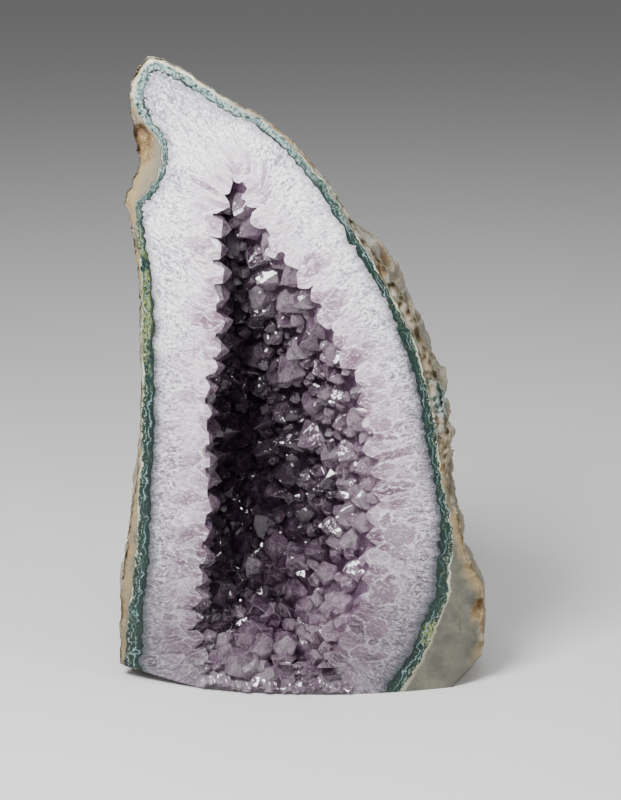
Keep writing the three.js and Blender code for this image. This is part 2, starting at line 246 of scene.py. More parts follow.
def meshFrom(name, points, faces):
    mesh = bpy.data.meshes.new(name)
    mesh.from_pydata(toMetres(points).tolist(), [], faces)
    mesh.update()
    return mesh


def sawBase(mesh):
    # cuts the mesh at the base and its two ground corners, and closes each cut
    planes = [(Vector((0, 0, 0)), Vector((0, 0, -1)))]
    for (x0, z0), (x1, z1) in baseBevels:
        side = 1 if x1 > x0 else -1
        out = Vector((side * (z1 - z0), 0, -side * (x1 - x0))).normalized()
        planes.append((Vector(toMetres([(x0, 0, z0)])[0]), out))
    bm = bmesh.new()
    bm.from_mesh(mesh)
    for place, out in planes:
        geometry = bm.verts[:] + bm.edges[:] + bm.faces[:]
        bmesh.ops.bisect_plane(bm, geom=geometry, plane_co=place, plane_no=out, clear_outer=True)
        rim = [edge for edge in bm.edges if edge.is_boundary]
        if rim:
            bmesh.ops.triangle_fill(bm, edges=rim, use_beauty=True, normal=out)
    bmesh.ops.recalc_face_normals(bm, faces=bm.faces)
    bm.to_mesh(mesh)
    bm.free()


def piece(name, mesh, node, materials):
    thing = bpy.data.objects.new(name, mesh)
    bpy.context.scene.collection.objects.link(thing)
    for material in materials:
        mesh.materials.append(material)
    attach(thing, "root")
    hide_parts(node)
    return thing


def setValues(mesh, name, values, domain="POINT"):
    layer = mesh.attributes.new(name, "FLOAT", domain)
    layer.data.foreach_set("value", np.asarray(values, np.float32))


print("camera and studio")

# Degrees above the ground, then millimetres.
camera = {"elevation": 15.0, "distance": 1150.0, "target": (5.63, 0.0, 129.28), "lens": 105.8,
          "sensor": 36}


def makeCamera():
    lens = bpy.data.cameras.new("photoCamera")
    lens.lens = camera["lens"]
    lens.sensor_width = camera["sensor"]
    lens.clip_start = 0.01
    thing = bpy.data.objects.new("photoCamera", lens)
    bpy.context.scene.collection.objects.link(thing)
    target = Vector(toMetres([camera["target"]])[0])
    up = math.radians(camera["elevation"])
    away = Vector((0, -math.cos(up), math.sin(up)))
    thing.location = target + away * camera["distance"] * mm
    thing.rotation_euler = (-away).to_track_quat("-Z", "Y").to_euler()
    bpy.context.scene.camera = thing


makeCamera()

studio = {
    "floor": (0.56, 0.555, 0.55), "floorSize": 16.0, "floorRoughness": 0.6,
    "sky": (0.8, 0.81, 0.84), "skyStrength": 0.24,
    # name: place, aimed at, width, height (all in metres), watts
    "lights": {
        "keySoftbox": ((-0.3, -0.48, 0.74), (0, 0, 0.22), 0.32, 0.3, 18),
        "overheadSoftbox": ((0.1, 0.1, 1.5), (0, 0, 0.1), 1.4, 1.0, 13),
        "rightSoftbox": ((1.0, -0.6, 0.75), (0, 0, 0.18), 0.25, 0.6, 5),
        "frontLamp": ((0.25, -1.3, 0.75), (0, 0, 0.17), 0.1, 0.1, 4),
        "upperLamp": ((-0.12, -1.1, 0.95), (0, 0, 0.17), 0.08, 0.08, 1.6),
        "leftLamp": ((-0.5, -1.3, 0.25), (0, 0, 0.12), 0.08, 0.08, 1.6),
    },
}


def makeStudio():
    world = bpy.data.worlds.new("studioSky")
    bpy.context.scene.world = world
    world.use_nodes = True
    background = world.node_tree.nodes["Background"]
    background.inputs["Color"].default_value = (*studio["sky"], 1)
    background.inputs["Strength"].default_value = studio["skyStrength"]
    for name, (place, target, width, height, watts) in studio["lights"].items():
        lamp = bpy.data.lights.new(name, "AREA")
        lamp.shape = "RECTANGLE"
        lamp.size, lamp.size_y, lamp.energy = width, height, watts
        thing = bpy.data.objects.new(name, lamp)
        thing.location = place
        thing.rotation_euler = (Vector(target) - Vector(place)).to_track_quat("-Z", "Y").to_euler()
        bpy.context.scene.collection.objects.link(thing)
    half = studio["floorSize"] / 2
    mesh = bpy.data.meshes.new("studioFloor")
    corners = [(-half, -half, 0), (half, -half, 0), (half, half, 0), (-half, half, 0)]
    mesh.from_pydata(corners, [], [(0, 1, 2, 3)])
    floor = bpy.data.objects.new("studioFloor", mesh)
    bpy.context.scene.collection.objects.link(floor)
    material = bpy.data.materials.new("paleFloor")
    material.use_nodes = True
    shader = material.node_tree.nodes["Principled BSDF"]
    shader.inputs["Base Color"].default_value = (*studio["floor"], 1)
    shader.inputs["Roughness"].default_value = studio["floorRoughness"]
    mesh.materials.append(material)


makeStudio()

print("materials")


class Nodes:
    # a short way to write a material's nodes
    def __init__(self, name):
        self.material = bpy.data.materials.new(name)
        self.material.use_nodes = True
        self.tree = self.material.node_tree
        self.shader = self.tree.nodes["Principled BSDF"]
        self.output = self.tree.nodes["Material Output"]

    def add(self, kind, inputs=(), **settings):
        node = self.tree.nodes.new(kind)
        for key, value in settings.items():
            setattr(node, key, value)
        for key, value in dict(inputs).items():
            self.feed(node.inputs[key], value)
        return node

    def feed(self, socket, value):
        if hasattr(value, "is_output"):
            self.tree.links.new(value, socket)
        elif hasattr(socket, "default_value") and isinstance(value, tuple) and socket.type == "RGBA":
            socket.default_value = (*value, 1) if len(value) == 3 else value
        else:
            socket.default_value = value

    def give(self, name, value):
        self.feed(self.shader.inputs[name], value)

    def attribute(self, name):
        return self.add("ShaderNodeAttribute", attribute_name=name).outputs["Fac"]

    def place(self):
        return self.add("ShaderNodeNewGeometry").outputs["Position"]

    def vector(self, x, y, z):
        return self.add("ShaderNodeCombineXYZ", {0: x, 1: y, 2: z}).outputs[0]

    def math(self, operation, a, b=0.0, c=0.0, clamp=False):
        node = self.add("ShaderNodeMath", {0: a, 1: b, 2: c}, operation=operation, use_clamp=clamp)
        return node.outputs[0]

    def plus(self, a, b):
        return self.math("ADD", a, b)

    def minus(self, a, b):
        return self.math("SUBTRACT", a, b)

    def times(self, a, b):
        return self.math("MULTIPLY", a, b)

    def over(self, a, b):
        return self.math("DIVIDE", a, b)

    def swing(self, value, width):
        # a texture's 0 to 1 as a length to either side of nothing
        return self.times(self.minus(value, 0.5), width)

    def vectors(self, operation, a, b=(0, 0, 0), output=0):
        return self.add("ShaderNodeVectorMath", {0: a, 1: b}, operation=operation).outputs[output]

    def shaken(self, vector, colour, width):
        # a vector moved by a texture's colour, up to half the width to either side
        aside = self.vectors("SUBTRACT", colour, (0.5, 0.5, 0.5))
        aside = self.add("ShaderNodeVectorMath", {0: aside, 3: width}, operation="SCALE").outputs[0]
        return self.vectors("ADD", vector, aside)

    def split(self, vector):
        return self.add("ShaderNodeSeparateXYZ", {0: vector}).outputs

    def noise(self, vector, scale, detail=3.0, roughness=0.5, distortion=0.0):
        values = {"Vector": vector, "Scale": scale, "Detail": detail, "Roughness": roughness,
                  "Distortion": distortion}
        return self.add("ShaderNodeTexNoise", values).outputs["Fac"]

    def cells(self, vector, scale, feature="F1", output="Distance"):
        node = self.add("ShaderNodeTexVoronoi", {"Vector": vector, "Scale": scale}, feature=feature)
        return node.outputs[output]

    def ramp(self, value, stops):
        node = self.add("ShaderNodeValToRGB", {"Fac": value})
        marks = node.color_ramp.elements
        while len(marks) < len(stops):
            marks.new(0.5)
        for mark, (position, _) in zip(marks, stops):
            mark.position = position
        for mark, (_, colour) in zip(marks, stops):
            mark.color = (*colour, 1) if isinstance(colour, tuple) else (colour, colour, colour, 1)
        return node.outputs["Color"]

    def mix(self, amount, a, b, blend="MIX"):
        node = self.add("ShaderNodeMix", data_type="RGBA", blend_type=blend, clamp_factor=True)
        self.feed(node.inputs["Factor"], amount)
        self.feed(node.inputs["A"], a)
        self.feed(node.inputs["B"], b)
        return node.outputs["Result"]

    def between(self, value, low, high, outLow=0.0, outHigh=1.0):
        node = self.add("ShaderNodeMapRange", {0: value, 1: low, 2: high, 3: outLow, 4: outHigh},
                        clamp=True)
        return node.outputs[0]

    def oval(self, middle, half):
        # 0 in the middle of an upright oval on the cut face and 1 at its edge, from millimetres
        x, _, z = self.split(self.place())
        total = 0.0
        for at, centre, size in ((x, middle[0] - stoneCentre["x"], half[0]), (z, middle[1], half[1])):
            share = self.over(self.minus(at, centre * mm), size * mm)
            total = self.plus(total, self.times(share, share))
        return self.math("SQRT", total)

    def bump(self, height, strength, distance, under=None):
        node = self.add("ShaderNodeBump", {"Height": height, "Strength": strength, "Distance": distance})
        if under is not None:
            self.tree.links.new(under, node.inputs["Normal"])
        return node.outputs["Normal"]


quartzLook = {
    "upper": (0.88, 0.86, 0.9), "lower": (0.43, 0.385, 0.44), "fleckUpper": (0.17, 0.14, 0.2),
    "fleckLower": (0.1, 0.072, 0.105), "lavender": (0.235, 0.16, 0.23), "vein": (0.93, 0.91, 0.94),
    # the next two are painted: a shade multiplied in towards the base, and a dark strip at the foot of the
    # sill's points, partly their colour and partly painted shadow
    "base": (0.3, 0.28, 0.31), "sill": (0.035, 0.022, 0.033),
    "grey": (0.17, 0.18, 0.22), "fringe": (0.02, 0.03, 0.035), "stain": (0.5, 0.42, 0.2),
    "cellWidth": 6.5, "cellLength": 17.0, "columnWidth": 3.0, "columnLength": 12.0,
    "fibreWidth": 1.3, "fibreLength": 5.5, "fleckWidth": 1.15, "fleckLength": 2.2,
    # the shades of the sliced points, from the darkest to the palest
    "points": ((0.13, 0.068, 0.115), (0.24, 0.155, 0.215), (0.37, 0.285, 0.35), (0.57, 0.5, 0.56)),
    "slicePale": (0.36, 0.26, 0.325), "sliceDark": (0.1, 0.045, 0.075),
    # large points that the saw cut through: x, z, half width, half height, how dark
    "slices": [(40, 49.5, 8, 6.2, 0.35), (37.2, 32, 5.8, 5.2, 0.45), (28.9, 20.5, 4.8, 3.3, 0.3),
               (37, 18.3, 7.2, 1.7, 0.8), (36.5, 26, 3.6, 2.0, 0.9), (49.3, 102.5, 5, 1.9, 0.5),
               (55, 84.7, 5.5, 1.5, 0.6), (41.4, 85.2, 2.7, 4.2, 0.7), (47.9, 77.8, 8, 5.6, 0.25),
               (38.4, 132, 5.5, 3.6, 0.2), (43, 125, 3.2, 1.6, 0.8), (-49.8, 62, 4.5, 2.8, 0.35),
               (-44.2, 54, 3.5, 2.2, 0.75), (-62.4, 34.3, 5.5, 1.7, 0.5), (-55.3, 83.6, 2.8, 0.9, 0.9),
               (43.5, 57, 3.4, 1.6, 0.95)],
}


def cutQuartzMaterial():
    # "along" and "inward" are millimetres along the green band and in from it,
    # "toMouth" is how far it still is to the mouth of the hollow, below zero on the points,
    # and "slice" and "sliceTone" are the distance to the nearest large sliced point and its darkness
    look = quartzLook
    n = Nodes("polishedQuartz")
    along, inward, toMouth = (n.attribute(name) for name in ("along", "inward", "toMouth"))
    place = n.place()
    x, _, height = n.split(place)

    def wander(size, width, detail=3):
        return n.swing(n.noise(place, 1000 / size, detail), width)

    def stretchedBy(width, length, at, depth):
        return n.vector(n.over(at, width), n.over(depth, length), 0.0)

    def columns(width, length, at, depth):
        vector = stretchedBy(width, length, at, depth)
        colour = n.cells(vector, 1.0, output="Color")
        tones = n.add("ShaderNodeSeparateColor", {0: colour}).outputs
        return tones, n.cells(vector, 1.0, feature="DISTANCE_TO_EDGE"), n.cells(vector, 1.0)

    def flecked(under, value, low, high, most, over, by=1.0):
        # lays a colour over the parts where a value runs from low to high
        return n.mix(n.times(n.between(value, low, high, 0.0, most), by), under, over)

    bent = n.plus(along, wander(14, 9.0))
    reach = n.plus(inward, wander(9, 10.0))
    cellTones, cellEdge, cellMiddle = columns(look["cellWidth"], look["cellLength"], bent,
                                              n.plus(toMouth, wander(7, 9.0)))
    columnTones, columnEdge, _ = columns(look["columnWidth"], look["columnLength"], bent, reach)
    fibre = n.noise(stretchedBy(look["fibreWidth"], look["fibreLength"], bent, reach), 1.0, 4, 0.65, 0.6)
    fleck = n.noise(stretchedBy(look["fleckWidth"], look["fleckLength"], bent, reach), 1.0, 3, 0.6, 0.5)
    cloud = n.noise(place, 75, 4, 0.6)
    grains = n.noise(place, 700, 4, 0.7)
    low = n.between(n.plus(height, wander(60, 0.12)), 0.11, 0.23, 1.0, 0.0)
    # the white wall, greyer and more lilac lower down, crinkled with pale and dark flecks
    darkFleck = n.mix(low, look["fleckUpper"], look["fleckLower"])
    wall = n.mix(low, look["upper"], look["lower"])
    wall = flecked(wall, columnTones[0], 0.3, 1.0, 0.85, look["lavender"], n.between(low, 0, 1, 0.5, 1.0))
    wall = flecked(wall, fleck, 0.505, 0.43, 0.95, darkFleck, n.between(cloud, 0.42, 0.6, 1.0, 0.5))
    wall = flecked(wall, fibre, 0.52, 0.62, 0.6, look["vein"], n.between(columnTones[1], 0, 1, 0.2, 1.0))
    wall = flecked(wall, fleck, 0.54, 0.6, 0.85, look["vein"])
    wall = flecked(wall, grains, 0.52, 0.6, 0.75, darkFleck)
    wall = flecked(wall, grains, 0.45, 0.37, 0.7, look["vein"])
    # the sliced points next to the hollow, each of its own shade and darker towards its tip
    uneven = n.swing(cellTones[1], 11.0)
    wide = n.between(low, 0.0, 1.0, 9.0, 15.0)
    near = n.between(n.over(n.plus(toMouth, uneven), wide), 0.15, 1.0, 1.0, 0.0)
    shade = n.plus(n.times(cellTones[0], 0.6), n.between(toMouth, -4.0, 14.0, 0.0, 0.4))
    shade = n.plus(shade, n.times(n.minus(cellMiddle, 0.35), 0.35))
    shade = n.plus(shade, n.swing(cloud, 1.6))
    shade = n.plus(shade, n.between(low, 0.0, 1.0, 0.34, 0.05))
    shades = look["points"]
    points = n.ramp(shade, [(0.08, shades[0]), (0.34, shades[1]), (0.62, shades[2]), (0.92, shades[3])])
    points = flecked(points, fleck, 0.54, 0.62, 0.6, look["vein"], n.between(grains, 0.4, 0.55))
    points = flecked(points, fleck, 0.46, 0.38, 0.5, shades[0])
    outline = n.times(n.between(cellEdge, 0.0, 0.05, 1.0, 0.0), n.between(grains, 0.42, 0.56, 0.9, 0.1))
    points = n.mix(outline, points, look["vein"])
    colour = n.mix(near, wall, points)
    colour = flecked(colour, columnEdge, 0.07, 0.0, 0.35, look["vein"], n.between(near, 0, 1, 1.0, 0.2))
    # the large sliced points, smoother than the rest, with a pale outline
    fromSlice = n.plus(n.attribute("slice"), wander(5, 5.0))
    sliced = n.mix(n.attribute("sliceTone"), look["slicePale"], look["sliceDark"])
    sliced = flecked(sliced, cloud, 0.52, 0.6, 0.6, look["slicePale"])
    sliced = flecked(sliced, fleck, 0.52, 0.62, 0.4, look["vein"])
    colour = n.mix(n.between(fromSlice, -0.7, 0.3, 0.85, 0.0), colour, sliced)
    rim = n.between(n.math("ABSOLUTE", n.minus(fromSlice, 0.3)), 0.15, 0.6, 0.7, 0.0)
    colour = n.mix(n.times(rim, n.between(grains, 0.42, 0.55)), colour, look["vein"])
    # blue grey specks next to the green band, a grey tip and a stain at the lower left
    soft = n.between(n.plus(inward, n.swing(cloud, 22.0)), 1.0, 8.0, 0.6, 0.0)
    colour = n.mix(n.times(soft, n.between(grains, 0.42, 0.56, 0.05, 1.0)), colour, look["grey"])
    tip = n.between(n.plus(height, n.swing(cloud, 0.03)), 0.264, 0.288, 0.0, 0.75)
    colour = n.mix(n.times(tip, n.between(grains, 0.4, 0.54, 0.3, 1.0)), colour, look["grey"])
    stained = n.between(n.oval((-73, 45.5), (4.5, 8)), 0.3, 1.0, 0.6, 0.0)
    colour = n.mix(n.times(stained, n.between(cloud, 0.42, 0.55)), colour, look["stain"])
    # painted shade: darker towards the base; the foot of the sill's points gets a dark strip, partly their
    # own dark colour and partly painted shadow
    lower = n.plus(n.between(height, 0.0, 0.085, 0.85, 0.0), n.between(height, 0.08, 0.2, 0.42, 0.0))
    colour = n.mix(lower, colour, look["base"], "MULTIPLY")
    foot = n.times(n.between(x, -0.05, -0.046), n.between(x, 0.02, 0.028, 1.0, 0.0))
    foot = n.times(foot, n.between(height, 0.004, 0.006, 1.0, 0.0))
    colour = n.mix(n.times(foot, n.between(grains, 0.4, 0.56, 1.0, 0.8)), colour, look["sill"])
    wideFringe = n.between(height, 0.14, 0.2, 3.6, 2.4)
    specked = n.plus(inward, n.swing(grains, 14.0))
    fringe = n.between(n.over(specked, wideFringe), 0.1, 1.0, 1.0, 0.0)
    colour = n.mix(n.times(fringe, n.between(height, 0.17, 0.24, 0.9, 0.4)), colour, look["fringe"])
    n.give("Base Color", colour)
    n.give("Roughness", n.between(grains, 0.3, 0.7, 0.12, 0.34))
    n.give("IOR", 1.54)
    relief = n.bump(fleck, 0.35, 0.0004)
    relief = n.bump(grains, 0.35, 0.0003, relief)
    n.give("Normal", relief)
    return n.material


bandLook = {
    "dark": (0.004, 0.01, 0.009), "teal": (0.007, 0.027, 0.024), "moss": (0.024, 0.038, 0.014),
    "mint": (0.24, 0.32, 0.27), "paleBlue": (0.15, 0.25, 0.265), "yellowGreen": (0.15, 0.18, 0.06),
    "white": (0.42, 0.44, 0.36), "lobe": 5.2,
}


def greenBandMaterial():
    # "across" runs from 0 at the basalt to 1 at the quartz
    look = bandLook
    n = Nodes("celadoniteBand")
    across, along = n.attribute("across"), n.attribute("along")
    place = n.place()
    x, _, height = n.split(place)
    # rings round rounded lobes, as agate grows
    swell = n.swing(n.noise(place, 210, 3), 1.1)
    lobe = n.cells(n.vector(n.over(along, look["lobe"]), n.times(across, 0.9), 0.5), 1.0)
    tone = n.plus(n.plus(n.times(across, 0.8), n.times(lobe, 0.26)), swell)
    patches = n.noise(place, 85, 3, 0.6)
    mottle = n.noise(n.vector(n.over(along, 1.6), n.times(across, 2.6), 0.0), 1.0, 4, 0.65)
    specks = n.noise(place, 900, 3, 0.65)
    crumbs = n.noise(place, 1100, 4, 0.75)
    body = n.ramp(mottle, [(0.4, look["dark"]), (0.5, look["teal"]), (0.56, look["dark"]),
                           (0.64, look["moss"])])
    body = n.mix(n.between(patches, 0.46, 0.6, 0.0, 0.8), body, look["dark"])
    body = n.mix(n.between(specks, 0.55, 0.66, 0.0, 0.7), body, look["teal"])
    body = n.mix(n.between(specks, 0.45, 0.36, 0.0, 0.8), body, look["dark"])
    # mint and yellow-green crumbs, more of them towards the rock
    crumbed = n.between(n.plus(crumbs, n.times(across, -0.05)), 0.54, 0.64, 0.0, 0.7)
    body = n.mix(crumbed, body, n.mix(n.between(patches, 0.44, 0.56), look["yellowGreen"], look["mint"]))
    upper = n.between(n.plus(height, n.swing(patches, 0.14)), 0.225, 0.275, 0.0, 1.0)
    pale = n.ramp(mottle, [(0.38, look["white"]), (0.46, look["mint"]), (0.52, look["paleBlue"]),
                           (0.58, look["teal"])])
    body = n.mix(n.times(upper, n.between(specks, 0.38, 0.54, 0.2, 1.0)), body, pale)
    # yellow-green stains at the middle left and the lower right
    tall = n.times(n.between(height, 0.142, 0.158), n.between(height, 0.205, 0.225, 1.0, 0.0))
    left = n.times(n.between(x, -0.03, -0.05), tall)
    low = n.between(n.oval((63, 28), (7, 7)), 0.6, 1.0, 1.0, 0.0)
    stain = n.times(n.math("MAXIMUM", left, low), n.between(specks, 0.42, 0.52, 0.0, 0.85))
    body = n.mix(n.times(stain, n.between(patches, 0.42, 0.52)), body, look["yellowGreen"])

    def line(at, width):
        return n.between(n.math("ABSOLUTE", n.minus(tone, at)), width * 0.4, width, 1.0, 0.0)

    blueLine = n.times(line(0.6, 0.042), n.between(patches, 0.4, 0.52, 0.1, 0.85))
    colour = n.mix(blueLine, body, look["paleBlue"])
    mintLine = n.times(line(0.3, 0.05), n.between(specks, 0.44, 0.58, 0.0, 0.8))
    colour = n.mix(mintLine, colour, look["mint"])
    edge = n.plus(across, n.swing(specks, 0.6))
    edge = n.plus(edge, n.swing(patches, 1.0))
    colour = n.mix(n.between(edge, 0.0, 0.07, 0.85, 0.0), colour, look["white"])
    colour = n.mix(n.between(edge, 0.8, 0.9, 0.0, 0.9), colour, look["dark"])
    n.give("Base Color", colour)
    n.give("Roughness", n.between(patches, 0.3, 0.7, 0.25, 0.45))
    n.give("Specular IOR Level", 0.3)
    n.give("Normal", n.bump(specks, 0.3, 0.0003))
    return n.material


basaltLook = {
    "sawn": (0.115, 0.111, 0.083), "sawnDark": (0.05, 0.05, 0.039), "ochre": (0.28, 0.205, 0.09),
    "pit": (0.17, 0.115, 0.045), "rust": (0.15, 0.075, 0.025), "crack": (0.06, 0.045, 0.035),
    "cream": (0.36, 0.315, 0.23), "olive": (0.08, 0.07, 0.03), "tan": (0.2, 0.168, 0.11),
    "shade": (0.13, 0.11, 0.07), "grey": (0.2, 0.2, 0.17), "mint": (0.3, 0.42, 0.35),
    "green": (0.01, 0.04, 0.033),
    "chipPale": (0.33, 0.4, 0.37), "chalk": (0.68, 0.64, 0.52),
    # the eye-shaped inclusion at the right edge, x, z and half sizes, and the middle of the bluish
    # chip beside it, in metres
    "eye": ((62.4, 147), (2.9, 4.8)), "chip": (0.0675, -0.046, 0.1425),
    # the pit in the notch and a small dark one near the right edge
    "notchPit": ((-72.5, 262), (6.5, 10.0)), "edgePit": ((86.5, 37.5), (3.4, 5.0)),
    # below this line the lower right corner is broken back and painted darker, as painted shade where it
    # turns from the light: x, z at its left and right end
    "fold": ((76.8, 23.5), (91.5, 15.5)),
    # a crack down the lower right of the sawn face, part by part: from x, z, to x, z, width
    "cracks": [(71, 43, 73.1, 39.9, 0.5), (75.6, 36.2, 76.6, 33.2, 0.5), (77.6, 33.1, 77.1, 24.7, 0.8),
               (76.1, 22.8, 74.7, 20.1, 0.6), (74.3, 19.4, 70.4, 15.2, 0.2),
               (71.4, 14.9, 63.9, 8.6, 0.35)],
}


def weatheredColour(n, place, relief):
    look = basaltLook
    cloud = n.noise(place, 32, 5, 0.62)
    fine = n.noise(place, 330, 5, 0.7)
    patch = n.noise(place, 95, 4, 0.6)
    colour = n.mix(n.between(cloud, 0.42, 0.6), look["tan"], look["grey"])
    colour = n.mix(n.between(patch, 0.5, 0.64, 0.0, 0.6), colour, look["cream"])
    colour = n.mix(n.between(fine, 0.48, 0.64, 0.0, 0.7), colour, look["shade"])
    sunk = n.plus(relief, n.swing(patch, 3.0))
    inHoles = n.mix(n.between(fine, 0.4, 0.6), look["rust"], look["olive"])
    colour = n.mix(n.between(sunk, -0.3, -1.6, 0.0, 0.85), colour, inHoles)
    colour = n.mix(n.between(sunk, 0.5, 1.5, 0.0, 0.35), colour, look["cream"])
    # a bluish chip with dark specks at the right edge
    away = n.vectors("DISTANCE", place, look["chip"], "Value")
    away = n.plus(away, n.swing(patch, 0.02))
    chip = n.mix(n.between(fine, 0.47, 0.55), look["chipPale"], look["green"])
    colour = n.mix(n.between(away, 0.006, 0.009, 0.9, 0.0), colour, chip)
    return colour, fine


def sawnBasaltMaterial():
    # "fromEdge" is how many millimetres a place is from the weathered outside, "worn" is 1 where the
    # face is broken away, and "relief" is how far it stands out
    look = basaltLook
    n = Nodes("sawnBasalt")
    place = n.place()
    x, _, height = n.split(place)
    fromEdge, broken, relief = n.attribute("fromEdge"), n.attribute("worn"), n.attribute("relief")
    grain = n.noise(place, 1100, 4, 0.65)
    cloud = n.noise(place, 70, 4, 0.6)
    colour = n.mix(n.between(cloud, 0.42, 0.6, 0.0, 0.8), look["sawn"], look["sawnDark"])
    colour = n.mix(n.between(grain, 0.5, 0.66, 0.0, 0.5), colour, look["sawnDark"])
    worn = n.plus(fromEdge, n.swing(cloud, 16.0))
    colour = n.mix(n.between(worn, 0.5, 6.5, 0.85, 0.0), colour, look["ochre"])
    spots = n.times(n.between(fromEdge, 1.0, 6.0, 1.0, 0.0), n.between(grain, 0.54, 0.62, 0.0, 0.8))
    colour = n.mix(spots, colour, n.mix(n.between(cloud, 0.45, 0.55), look["rust"], look["cream"]))
    upper = n.times(n.between(height, 0.275, 0.285, 0.0, 0.7), n.between(fromEdge, 2.0, 4.0, 1.0, 0.0))
    colour = n.mix(upper, colour, look["chalk"])
    notch = n.times(n.between(height, 0.2, 0.23), n.between(height, 0.275, 0.285, 1.0, 0.0))
    colour = n.mix(n.times(notch, n.between(cloud, 0.4, 0.6, 0.3, 0.9)), colour, look["tan"])
    weathered, fine = weatheredColour(n, place, relief)
    edgeMask = n.between(n.plus(broken, n.swing(cloud, 1.2)), 0.35, 0.6)
    colour = n.mix(edgeMask, colour, weathered)
    # the pits, stained brown
    stained = n.ramp(n.plus(grain, n.minus(fine, 0.5)), [(0.36, look["crack"]), (0.46, look["rust"]),
                                                         (0.56, look["pit"]), (0.68, look["ochre"])])
    ragged = n.swing(cloud, 1.6)
    for pit in (look["notchPit"], look["edgePit"]):
        colour = n.mix(n.between(n.plus(n.oval(*pit), ragged), 0.75, 1.0, 0.9, 0.0), colour, stained)
    # the eye-shaped inclusion
    around = n.plus(n.oval(*look["eye"]), n.swing(fine, 1.6))
    around = n.plus(around, n.swing(grain, 1.2))
    ring = n.ramp(around, [(0.55, look["tan"]), (0.66, look["sawnDark"]), (0.78, look["mint"]),
                           (0.86, look["sawnDark"]), (0.95, look["green"])])
    colour = n.mix(n.between(around, 0.9, 1.25, 0.8, 0.0), colour, ring)
    # painted shade over the corner that is broken back
    (foldX, foldZ), (foldEndX, foldEndZ) = look["fold"]
    slope = (foldEndZ - foldZ) / (foldEndX - foldX)
    foldAt = n.plus(n.times(x, slope), (foldZ - slope * (foldX - stoneCentre["x"])) * mm)
    under = n.between(n.minus(foldAt, height), -0.0004, 0.0006)
    under = n.times(under, n.between(x, 0.062, 0.078))
    colour = n.mix(n.times(under, 0.42), colour, look["sawnDark"])
    # the crack, a little wandering and broken
    shift = n.add("ShaderNodeTexNoise", {"Vector": place, "Scale": 260.0, "Detail": 3.0}).outputs["Color"]
    bentX, _, bentZ = n.split(n.shaken(place, shift, 0.004))
    crack = 0.0
    for fromX, fromZ, toX, toZ, width in look["cracks"]:
        ax, az = (fromX - stoneCentre["x"]) * mm, fromZ * mm
        dx, dz = (toX - stoneCentre["x"]) * mm - ax, toZ * mm - az
        px, pz = n.minus(bentX, ax), n.minus(bentZ, az)
        dot = n.plus(n.times(px, dx), n.times(pz, dz))
        t = n.math("DIVIDE", dot, dx * dx + dz * dz, clamp=True)
        gapX = n.minus(px, n.times(t, dx))
        gapZ = n.minus(pz, n.times(t, dz))
        gap = n.math("SQRT", n.plus(n.times(gapX, gapX), n.times(gapZ, gapZ)))
        crack = n.math("MAXIMUM", crack, n.between(gap, width * 0.2 * mm, width * 0.6 * mm, 1.0, 0.0))
    crack = n.times(crack, n.between(grain, 0.36, 0.5, 0.4, 1.0))
    colour = n.mix(n.times(crack, 0.9), colour, look["crack"])
    n.give("Base Color", colour)
    n.give("Roughness", n.between(edgeMask, 0.0, 1.0, 0.55, 0.9))
    height = n.minus(n.times(grain, 0.5), crack)
    bumped = n.bump(height, 0.35, 0.0005)
    n.give("Normal", n.bump(n.times(fine, edgeMask), 0.8, 0.0012, bumped))
    return n.material


def weatheredBasaltMaterial():
    n = Nodes("weatheredBasalt")
    place = n.place()
    colour, fine = weatheredColour(n, place, n.attribute("relief"))
    n.give("Base Color", colour)
    n.give("Roughness", n.between(fine, 0.3, 0.7, 0.78, 0.96))
    relief = n.bump(fine, 0.8, 0.0014)
    relief = n.bump(n.noise(place, 1000, 4, 0.7), 0.5, 0.0004, relief)
    n.give("Normal", relief)
    return n.material


amethystLook = {
    "ior": 1.544, "clearness": 0.82, "absorbed": (0.7, 0.42, 0.68), "absorption": 80.0,
    # front, middle and deep run from the cut face into the hollow, darker deeper in as painted shade
    "front": (0.84, 0.69, 0.81), "middle": (0.46, 0.28, 0.44), "deep": (0.065, 0.032, 0.066),
    "veilAndHighlight": (0.92, 0.85, 0.9), "root": (0.74, 0.65, 0.72), "zone": (0.13, 0.055, 0.12),
    # gap is painted shade between the points and behind the sill
    "gap": (0.02, 0.01, 0.025), "tilt": 0.22,
    # where the points are paler, some by their own tone and the right wall by painted light, and where below
    # zero they are darker by painted shade: x and z, half sizes, by how much
    "pale": [((14, 35), (15, 18), 0.42), ((38, 125), (24, 62), 0.24), ((-16, 187), (9, 9), 0.3),
             ((-26, 11), (9, 8), 0.5), ((-12, 5), (40, 13), -0.34), ((-18, 32), (32, 20), -0.26),
             ((-18, 85), (36, 52), -0.22)],
}


